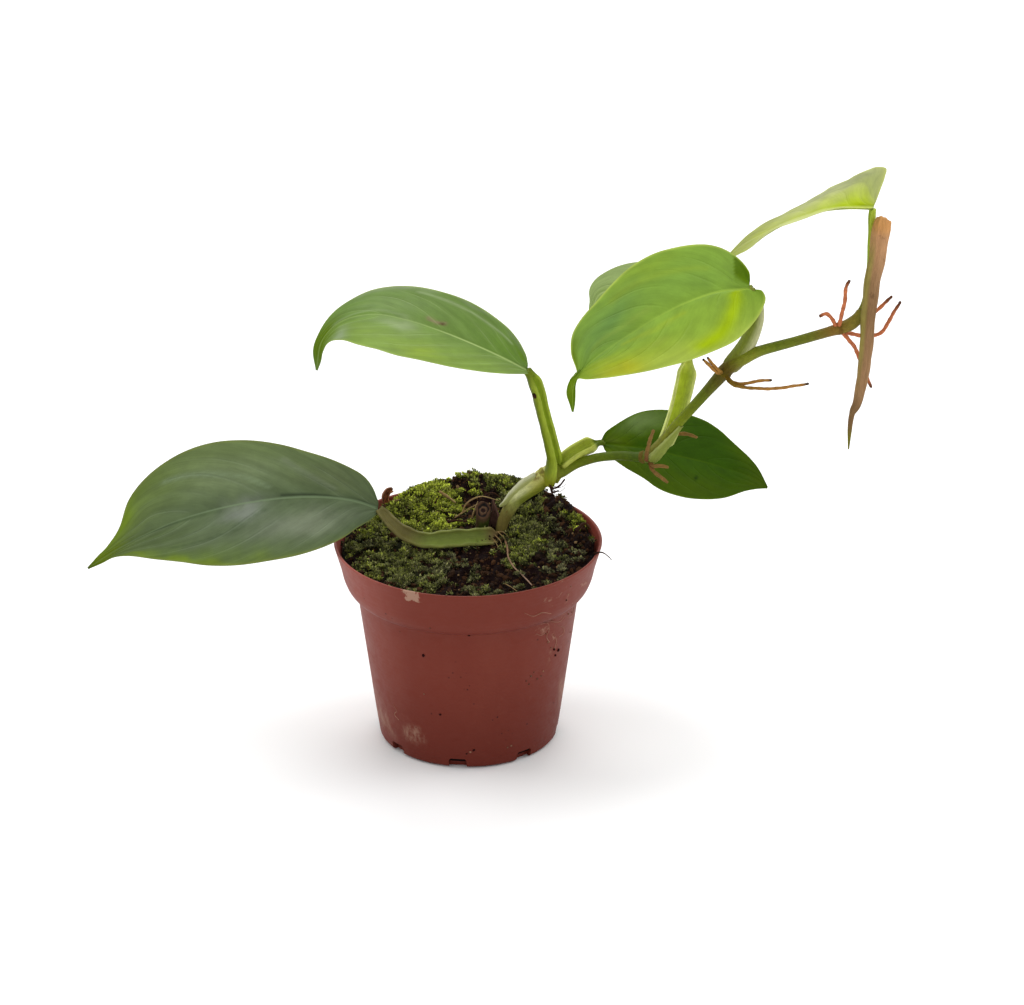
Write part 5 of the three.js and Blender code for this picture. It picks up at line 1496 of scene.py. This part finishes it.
# Bunches of aerial roots. node is the place among the stem's points.
ROOT_RINGS = {
    "aerial_roots_a": {
        "node": 8, "radius": 0.45, "ring": (158, 154, 74), "slot": "aerial_root",
        "roots": [
            [(34.8, 7.5, 121.6), (36.3, 2.4, 120), (37.6, 0, 119), (40.5, -1, 120.5), (43.2, 0, 123.5)],
            [(34.8, 7.5, 121.6), (36.8, 3.5, 117.6), (37.8, 2, 116.2), (40.5, 1.5, 117.3)],
        ],
        "colours": [(92, 68, 46), (60, 42, 30)],
    },
    "aerial_roots_b": {
        "node": 15.4, "radius": 0.85, "ring": (108, 92, 46), "slot": "aerial_root",
        "roots": [
            [(80, 3, 133), (79.2, -1.5, 133.6), (79.4, -4.5, 139), (80.6, -7, 145.5), (82, -8.5, 151)],
            [(81, 3, 134), (85, 7, 137.5), (90, 8, 141), (96, 7, 142.5), (102, 5, 141.5)],
            [(80, 3, 133), (82, -3, 131.5), (85, -5, 132.2), (89, -6, 131.8)],
            [(80, 3, 132.5), (82, -2, 129), (85, -3.5, 126.5), (88.9, -4, 123.6)],
        ],
        "colours": [(116, 74, 50), (134, 104, 62)],
    },
    "aerial_roots_c": {
        "node": 22.2, "radius": 0.72, "ring": (104, 90, 36), "slot": "aerial_root",
        "roots": [
            [(112.6, -5, 176.8), (110.6, -9.5, 179.5), (108, -10.5, 182.5), (105, -10.5, 186.5)],
            [(112.6, -5, 176.8), (109.5, -10, 179), (106.5, -11.5, 182.5), (103, -11.5, 186)],
            [
                (112.6, -5, 176.8), (116, -10.5, 175), (121, -12, 174.5), (127, -12.5, 176),
                (133.5, -12.5, 176.5),
            ],
            [
                (112.6, -5, 176.8), (116, -11.5, 174.3), (122, -14.5, 173.8), (133.5, -16, 173.9),
                (143, -16.5, 175.4), (149.5, -16.5, 176.5),
            ],
        ],
        "colours": [(128, 102, 42), (180, 130, 70)], "tip": (74, 60, 50),
    },
    "aerial_roots_d": {
        "node": 27.8, "radius": 0.85, "ring": (124, 98, 48), "slot": "aerial_root_red",
        "roots": [
            [(163, 4.1, 194), (163.8, 1, 200.5), (165.3, 1.5, 208), (165.8, 3, 214), (167.5, 4, 217)],
            [(162.5, 3.9, 194), (160, 1.5, 199.5), (157.5, 3, 201.5), (154.5, 4, 199.8)],
            [(163, 4.1, 194), (167, 4.5, 189.5), (171, 8, 183), (174, 10, 175), (179, 12, 162.5)],
            [
                (163, 4.1, 194), (168.5, 8.5, 190), (176.5, 12.5, 187), (183, 14, 188.5),
                (187.5, 12, 198), (190.5, 10, 204.5),
            ],
            [(163, 4.1, 194), (168, 10.5, 193), (174, 12.5, 195), (180.5, 13.5, 199), (187, 14, 205.5)],
        ],
        "colours": [(206, 124, 84), (100, 66, 50)], "ends": (0.8, 1.0),
    },
}
ROOT_TAPER = np.array([1.15, 1.05, 1, 1, 0.75])
RING_ROWS, RING_SIDES = 15, 28
STRIP_ROWS = 80
BURIED_ROOTS = 6


def fibre_surface(name, dark, roughness=0.8, marks=0.5):
    """Dry fibrous skin: the tint layer with lengthwise fibres and darker marks."""
    s = Surface(name, roughness, 0.2)
    lines = s.vector(s.layer("along") * 0.08, s.layer("round") * 6.0)
    fibre = s.noise(3.0, lines, detail=5.0, roughness=0.7)
    mark = s.band(s.noise(140, detail=5.0, roughness=0.7), 0.58, 0.7) * marks
    colour = s.mix(mark, s.shade(s.tint(), fibre, 0.68, 1.3), dark)
    worn = s.band(fibre, 0.3, 0.7, roughness - 0.1, roughness + 0.1)
    return s.finish(colour, worn, fibre + s.noise(700, detail=3.0) * 0.3, 0.0005, 0.7)


def make_bud_sheath(material):
    """A long dry sheath, hollow and open at its top, pinched to a point at its foot."""
    path = Path(BUD_SHEATH_PATH)
    share = np.linspace(0, 1, BUD_STEPS + 1)
    (radius,) = read_rows(BUD_SHEATH_RADII, share)
    angle = circle(BUD_SIDES)
    along = share[:, None] * path.length
    crinkle = 0.06 * np.sin(6 * angle + 0.05 * along) + 0.05 * np.sin(11 * angle - 0.11 * along + 1)
    crinkle = crinkle + 0.05 * np.sin(0.35 * along + 3 * angle)
    wide = radius[:, None] * (0.93 + crinkle)
    # The mouth's edge is cut slanting and a little torn
    cut = 3.4 * (1 + np.cos(angle + 0.6)) / 2 + 0.2 * np.sin(5 * angle) + 0.2
    first = cut / path.length
    down = np.linspace(0, 1, BUD_DEPTH + 1)[:, None]
    outer = first + (1 - first) * share[:, None]
    inner = first + (BUD_DEPTH / BUD_STEPS - first) * down

    def rings(places, shrink):
        size = np.stack([np.interp(p, share, w) for p, w in zip(places.T, wide.T)], -1)
        size = size * np.interp(places, *BUD_MOUTH) - shrink
        outline = ring_outline(BUD_SIDES) * size[..., None]
        return place_rings(path, places * path.length, outline, (-1, -0.2, 0.1))

    thinner = np.interp(down, [0, 0.03, 1], [0.0, 0.45, 0.5])
    rows = np.concatenate([rings(inner, thinner)[:0:-1], rings(outer, 0)])
    reach = np.concatenate([inner[:0:-1], outer])
    tint = pigment((166, 130, 94))
    left = smooth_step(np.sin(angle), 0.35, 0.85)
    middle = smooth_step(reach, 0.08, 0.2) * smooth_step(reach, 0.8, 0.5)
    for mask, colour in (
        (smooth_step(reach, 0.32, 0.08), (204, 156, 114)),
        (smooth_step(reach, 0.1, 0.04) * 0.8, (222, 162, 98)),
        (bump(reach, 0.42, 0.12) * 0.6, (134, 104, 72)),
        (bump(reach, 0.62, 0.1) * 0.5, (166, 130, 94)),
        (smooth_step(reach, 0.74, 0.82) * 0.7, (124, 98, 66)),
        (smooth_step(reach, 0.88, 0.96), (128, 124, 52)),
        (left * middle * 0.75, (160, 152, 78)),
    ):
        tint = paint(tint, mask, colour)
    # The inside is in its own shade
    tint[:BUD_DEPTH] *= 0.5
    layers = {"tint": tint, "along": reach * path.length, "round": angle}
    add_tube("bud_sheath_skin", rows, material, ["bud_sheath"], layers)


def make_tube_piece(
    name, parts, colours, material, replaces=(), ends=(0.0, 1.0), ring=None, last=None
):
    """Round pieces in one mesh, tinted from the first colour at the foot to the second at the tip.

    Vertices whose share is below 0 take the ring's colour.
    """
    vertices, faces, share = gather(parts)
    tint = paint(pigment(colours[0]), smooth_step(share, *ends), colours[1])
    if last:
        tint = paint(tint, smooth_step(share, 0.92, 0.98), last)
    if ring:
        tint = paint(tint, (share < 0) * 1.0, ring)
    _, y, z = (vertices - vertices.mean(0)).T
    layers = {"tint": tint, "along": share * 30, "round": np.arctan2(y, z)}
    add_piece(name, vertices, faces, material, replaces, layers)


def make_bits(name, bits, taper, sides, wobble, colours, material):
    """Dry twigs and fibres. taper gives the radii along each from its start and end radius."""
    parts = []
    for k, (points, start, end) in enumerate(bits):
        parts.append(tube(points, taper @ (start, end), sides, 26, wobble=wobble, seed=k))
    make_tube_piece(name, parts, colours, material)


def root_ring(path, places, node, seed):
    """The corky swelling round the stem from which a bunch of roots grows."""
    before = int(node)
    middle = places[before] + (places[before + 1] - places[before]) * (node - before)
    along = middle + np.linspace(-1.2, 1.2, RING_ROWS)
    swell = 0.05 + 0.28 * np.sin(np.linspace(0, math.pi, RING_ROWS)) ** 0.8
    radius = np.interp(along, places, STEM_RADII) + swell
    outline = ring_outline(RING_SIDES)
    around = np.tile(3 * outline, (RING_ROWS, 1, 1))
    at = np.concatenate([np.repeat(along, RING_SIDES).reshape(RING_ROWS, -1, 1), around], -1)
    bumps = 1 + 0.06 * rough(at, 1.5, seed)
    rings = place_rings(path, along, outline * (radius[:, None] * bumps)[..., None], (0.2, 1, 0.1))
    return rings.reshape(-1, 3), tube_faces(RING_ROWS, RING_SIDES), np.full(bumps.size, -1.0)


def make_roots(skins):
    path, places = stem_places()
    for index, (name, spec) in enumerate(ROOT_RINGS.items()):
        parts = [root_ring(path, places, spec["node"], index)]
        for k, points in enumerate(spec["roots"]):
            parts.append(tube(points, spec["radius"] * ROOT_TAPER, 14, 70, wobble=0.09, seed=k))
        make_tube_piece(
            name + "_skin", parts, spec["colours"], skins[spec["slot"]], [name],
            spec.get("ends", (0.1, 0.6)), spec["ring"], spec.get("tip"),
        )


def buried_parts():
    parts = [tube([(13, 3, 69.6), (12.8, 2.8, 66), (12.5, 2.5, 62), (12, 2, 58)], [2.6, 3.2, 2.4], 16, 20)]
    for k in range(BURIED_ROOTS):
        angle = 2 * math.pi * k / BURIED_ROOTS + 0.4
        dx, dy = math.cos(angle), math.sin(angle)
        depth = 30 + 9 * math.sin(2.3 * k)
        path = [
            (12, 2, 62), (12 + 9 * dx, 2 + 9 * dy, 58), (6 + 20 * dx, 20 * dy, 50),
            (28 * dx, 28 * dy, depth), (31 * dx, 31 * dy, depth - 18),
        ]
        parts.append(tube(path, [1.3, 1.1, 0.7], 12, 50, wobble=0.05, seed=k))
    return parts


def make_strip(name, points, shape, top, colours, material, replaces=(), ragged=0.0):
    """A curved strip of bark or sheath with a worn edge.

    Rows of shape are place, radius, spread and wall. Colours are back, left edge, right edge, inside.
    """
    path = Path(points)
    share = np.linspace(0, 1, STRIP_ROWS)
    along = share * path.length
    radius, spread, wall = read_rows(shape, share)
    spread = spread + ragged * np.sin(along * 1.3) * np.sin(along * 0.7 + 2)
    radius = radius * (1 + 0.006 * ragged * np.sin(along * 0.9 + 1))
    outline = gutter_outlines(radius, spread, wall, np.zeros_like(share))
    slip = ragged * 0.05 * np.sin(7 * GUTTER_ACROSS) * smooth_step(share, 0.6, 1)[:, None]
    rings = place_rings(path, along, outline, top) + slip[..., None] * path.tangent(along)[:, None]
    back, left, right, inside = colours
    tint = paint(pigment(back), GUTTER_INSIDE, inside)
    tint = paint(tint, smooth_step(-GUTTER_ACROSS, 0.6, 0.95), left)
    tint = paint(tint, smooth_step(GUTTER_ACROSS, 0.6, 0.95), right)
    layers = {"tint": tint, "along": along[:, None], "round": GUTTER_ACROSS * 3}
    add_tube(name, rings, material, replaces, layers)


def make_stub(material):
    """The cut stem: a leaning peg whose slanted end shows a ring of bark round the wood."""
    path = Path(STUB_PATH)
    share = np.linspace(0, 1, STUB_STEPS + 1)[:, None]
    angle = circle(STUB_SIDES)
    # The end is cut so that its face looks up and to the front
    slant = 2.6 * (1 - np.cos(angle - math.pi / 2 + 0.1))
    wide = np.interp(share, [0, 0.7, 0.9, 1], [3.0, 2.9, 3.2, 3.3])
    wide = wide * (1 + 0.035 * np.sin(3 * angle + 6 * share) + 0.02 * np.sin(7 * angle))
    outline = ring_outline(STUB_SIDES) * wide[..., None]
    peg = place_rings(path, share * (path.length - slant), outline, (0, 1, 0))
    tint = paint(pigment((74, 84, 42)), smooth_step(share, 0.84, 0.97), (96, 76, 60))
    tint = paint(tint, smooth_step(np.cos(angle), 0.1, 0.8) * 0.8, (74, 56, 44))
    rings, tints = list(peg), list(tint)
    middle = peg[-1].mean(0)
    for size, sink, colour in STUB_RINGS:
        wander = 1 + 0.13 * np.sin(2 * angle + 5 * size) + 0.08 * np.sin(5 * angle - 9 * size)
        if size > 0.9:
            wander = np.ones(STUB_SIDES)
        inner = middle + (peg[-1] - middle) * (size * wander)[:, None]
        inner[:, 2] -= sink
        rings.append(inner)
        tints.append(np.broadcast_to(pigment(colour), inner.shape))
    layers = {"tint": np.array(tints), "along": np.arange(len(rings))[:, None] * 0.5, "round": angle}
    add_tube("old_stub_skin", np.array(rings), material, ["old_stem_stub"], layers)


# Camera, light and floor


def make_camera():
    data = bpy.data.cameras.new("camera")
    data.sensor_width = 36
    data.lens = CAMERA_LENS
    data.clip_end = 50
    camera = show("camera", data)
    camera.location = CAMERA_PLACE
    camera.rotation_euler = (math.radians(CAMERA_TILT), 0, 0)
    bpy.context.scene.camera = camera


def make_lamp(name, place, size, power):
    """A large soft lamp that points at the middle of the plant."""
    data = bpy.data.lights.new(name, "AREA")
    data.shape = "DISK"
    data.size = size
    data.energy = power
    lamp = show(name, data)
    lamp.location = place
    aim = Vector(LAMP_AIM) - Vector(place)
    lamp.rotation_euler = aim.to_track_quat("-Z", "Y").to_euler()


def make_sky():
    world = bpy.data.worlds.new("studio")
    world.use_nodes = True
    inputs = world.node_tree.nodes["Background"].inputs
    inputs["Color"].default_value = (1, 1, 1, 1)
    inputs["Strength"].default_value = SKY_STRENGTH
    bpy.context.scene.world = world
    bpy.context.scene.view_settings.view_transform = "Standard"


def make_floor():
    """The white sheet under the pot."""
    s = Surface("floor_sheet", 0.9, 0.1)
    mesh = bpy.data.meshes.new("floor")
    signs = ((-1, -1), (1, -1), (1, 1), (-1, 1))
    corners = [(a * FLOOR_HALF, b * FLOOR_HALF, FLOOR_LEVEL) for a, b in signs]
    mesh.from_pydata(corners, [], [(0, 1, 2, 3)])
    mesh.materials.append(s.finish(s.mix(s.noise(2.0), (252, 252, 252), (255, 255, 255))))
    floor = show("floor", mesh)


# Making

make_camera()
make_sky()
for lamp in LAMPS:
    make_lamp(*lamp)
make_floor()

make_pot(pot_surface())
make_soil(soil_surface())
crumbs = crumb_surface()
make_crumbs(crumbs)
make_pot_specks(crumbs)
moss = moss_surface()
make_moss("moss_cushions", moss, 900)
make_moss("moss_cushions_low", moss, 900)
make_moss("moss_edge", moss, 420, edge=True)

make_stem(stem_surface())
stalk_paint = stalk_surface()
for stalk_name, stalk_spec in STALKS.items():
    make_stalk(stalk_name, stalk_spec, stalk_paint)
for leaf_name, leaf_spec in LEAVES.items():
    make_leaf(leaf_name, leaf_spec)

dry = fibre_surface("dry_sheath", (96, 70, 48))
bark = fibre_surface("dark_bark", (52, 38, 28), 0.9)
root_skin = fibre_surface("root_skin", (70, 48, 32), 0.85)
red_skin = fibre_surface("red_root_skin", (110, 56, 34), 0.75)
pale_skin = fibre_surface("pale_root_skin", (130, 104, 76), 0.85)
withered = fibre_surface("withered_sheath", (150, 132, 70), 0.65, 0.12)
make_bud_sheath(dry)
make_strip(
    "old_sheath_skin", OLD_SHEATH_PATH,
    [(0, 0.8, 70, 0.6), (0.25, 3.0, 80, 0.8), (0.5, 4.4, 82, 0.9), (0.8, 4.9, 84, 0.9), (1, 4.5, 84, 0.9)],
    (-0.4, 0.85, 0.35), [(168, 172, 106), (150, 158, 84), (212, 212, 176), (150, 156, 84)],
    withered, ["old_sheath"], ragged=3,
)
make_strip(
    "node_sheath", [(82, 0, 132.4), (85.4, -1.5, 137), (88, -2, 140.5), (94.6, -3, 150.2)],
    [(0, 2.6, 100, 0.6), (0.12, 3.7, 92, 0.7), (0.5, 3.6, 74, 0.7), (1, 2.6, 44, 0.5)],
    (-0.64, 0.64, 0.43), [(138, 150, 70), (180, 188, 118), (168, 178, 104), (150, 165, 90)],
    withered, ragged=3,
)
make_strip(
    "bark_strip", BARK_PATH,
    [(0, 3.6, 70, 0.9), (0.55, 3.4, 66, 0.9), (0.8, 2.4, 56, 0.8), (1, 1.0, 40, 0.6)],
    (-0.6, -0.8, 0), [(112, 88, 78), (84, 64, 56), (104, 80, 70), (92, 70, 62)],
    bark, ["bark_flake"], ragged=9,
)
make_stub(fibre_surface("old_stub_bark", (58, 44, 32), 0.8, 0.35))
# Each row gives the shares of the start and the end radius
dark_taper = np.array([(1, 0), (0, 1), (0, 0.7)])
make_bits("dark_bits", DARK_BITS, dark_taper, 9, 0.1, [(58, 42, 32), (74, 54, 40)], bark)
pale_taper = np.array([(0.35, 0), (0.5, 0), (0, 0.5), (0, 0.35)])
pale_colours = [(148, 122, 84), (162, 140, 98)]
make_bits("pale_bits", PALE_BITS, pale_taper, 9, 0.12, pale_colours, pale_skin)
make_strip(
    "curled_scrap", CURLED_SCRAP, [(0, 1.4, 100, 0.5), (0.5, 1.9, 120, 0.5), (1, 1.2, 110, 0.5)],
    (0.6, -0.8, 0), [(150, 94, 64), (104, 70, 50), (188, 128, 92), (168, 104, 72)],
    dry, ragged=8,
)
surface_parts = [tube(SURFACE_ROOT, [0.55, 0.36, 0.32, 0.25], 12, 90, wobble=0.08)]
make_tube_piece(
    "surface_root_skin", surface_parts, [(140, 108, 84), (158, 130, 110)],
    pale_skin, ["surface_root"],
)
make_tube_piece(
    "buried_roots_skin", buried_parts(), [(196, 176, 138), (176, 150, 112)],
    pale_skin, ["roots"],
)
hair_parts = [
    tube(wall_place(*np.array(line, float).T), [0.14, 0.2, 0.12], 7, 40, wobble=0.1, seed=k)
    for k, line in enumerate(WALL_HAIRS)
]
make_tube_piece("wall_hairs", hair_parts, [(136, 88, 74), (164, 124, 106)], pale_skin)
make_roots({"aerial_root": root_skin, "aerial_root_red": red_skin})
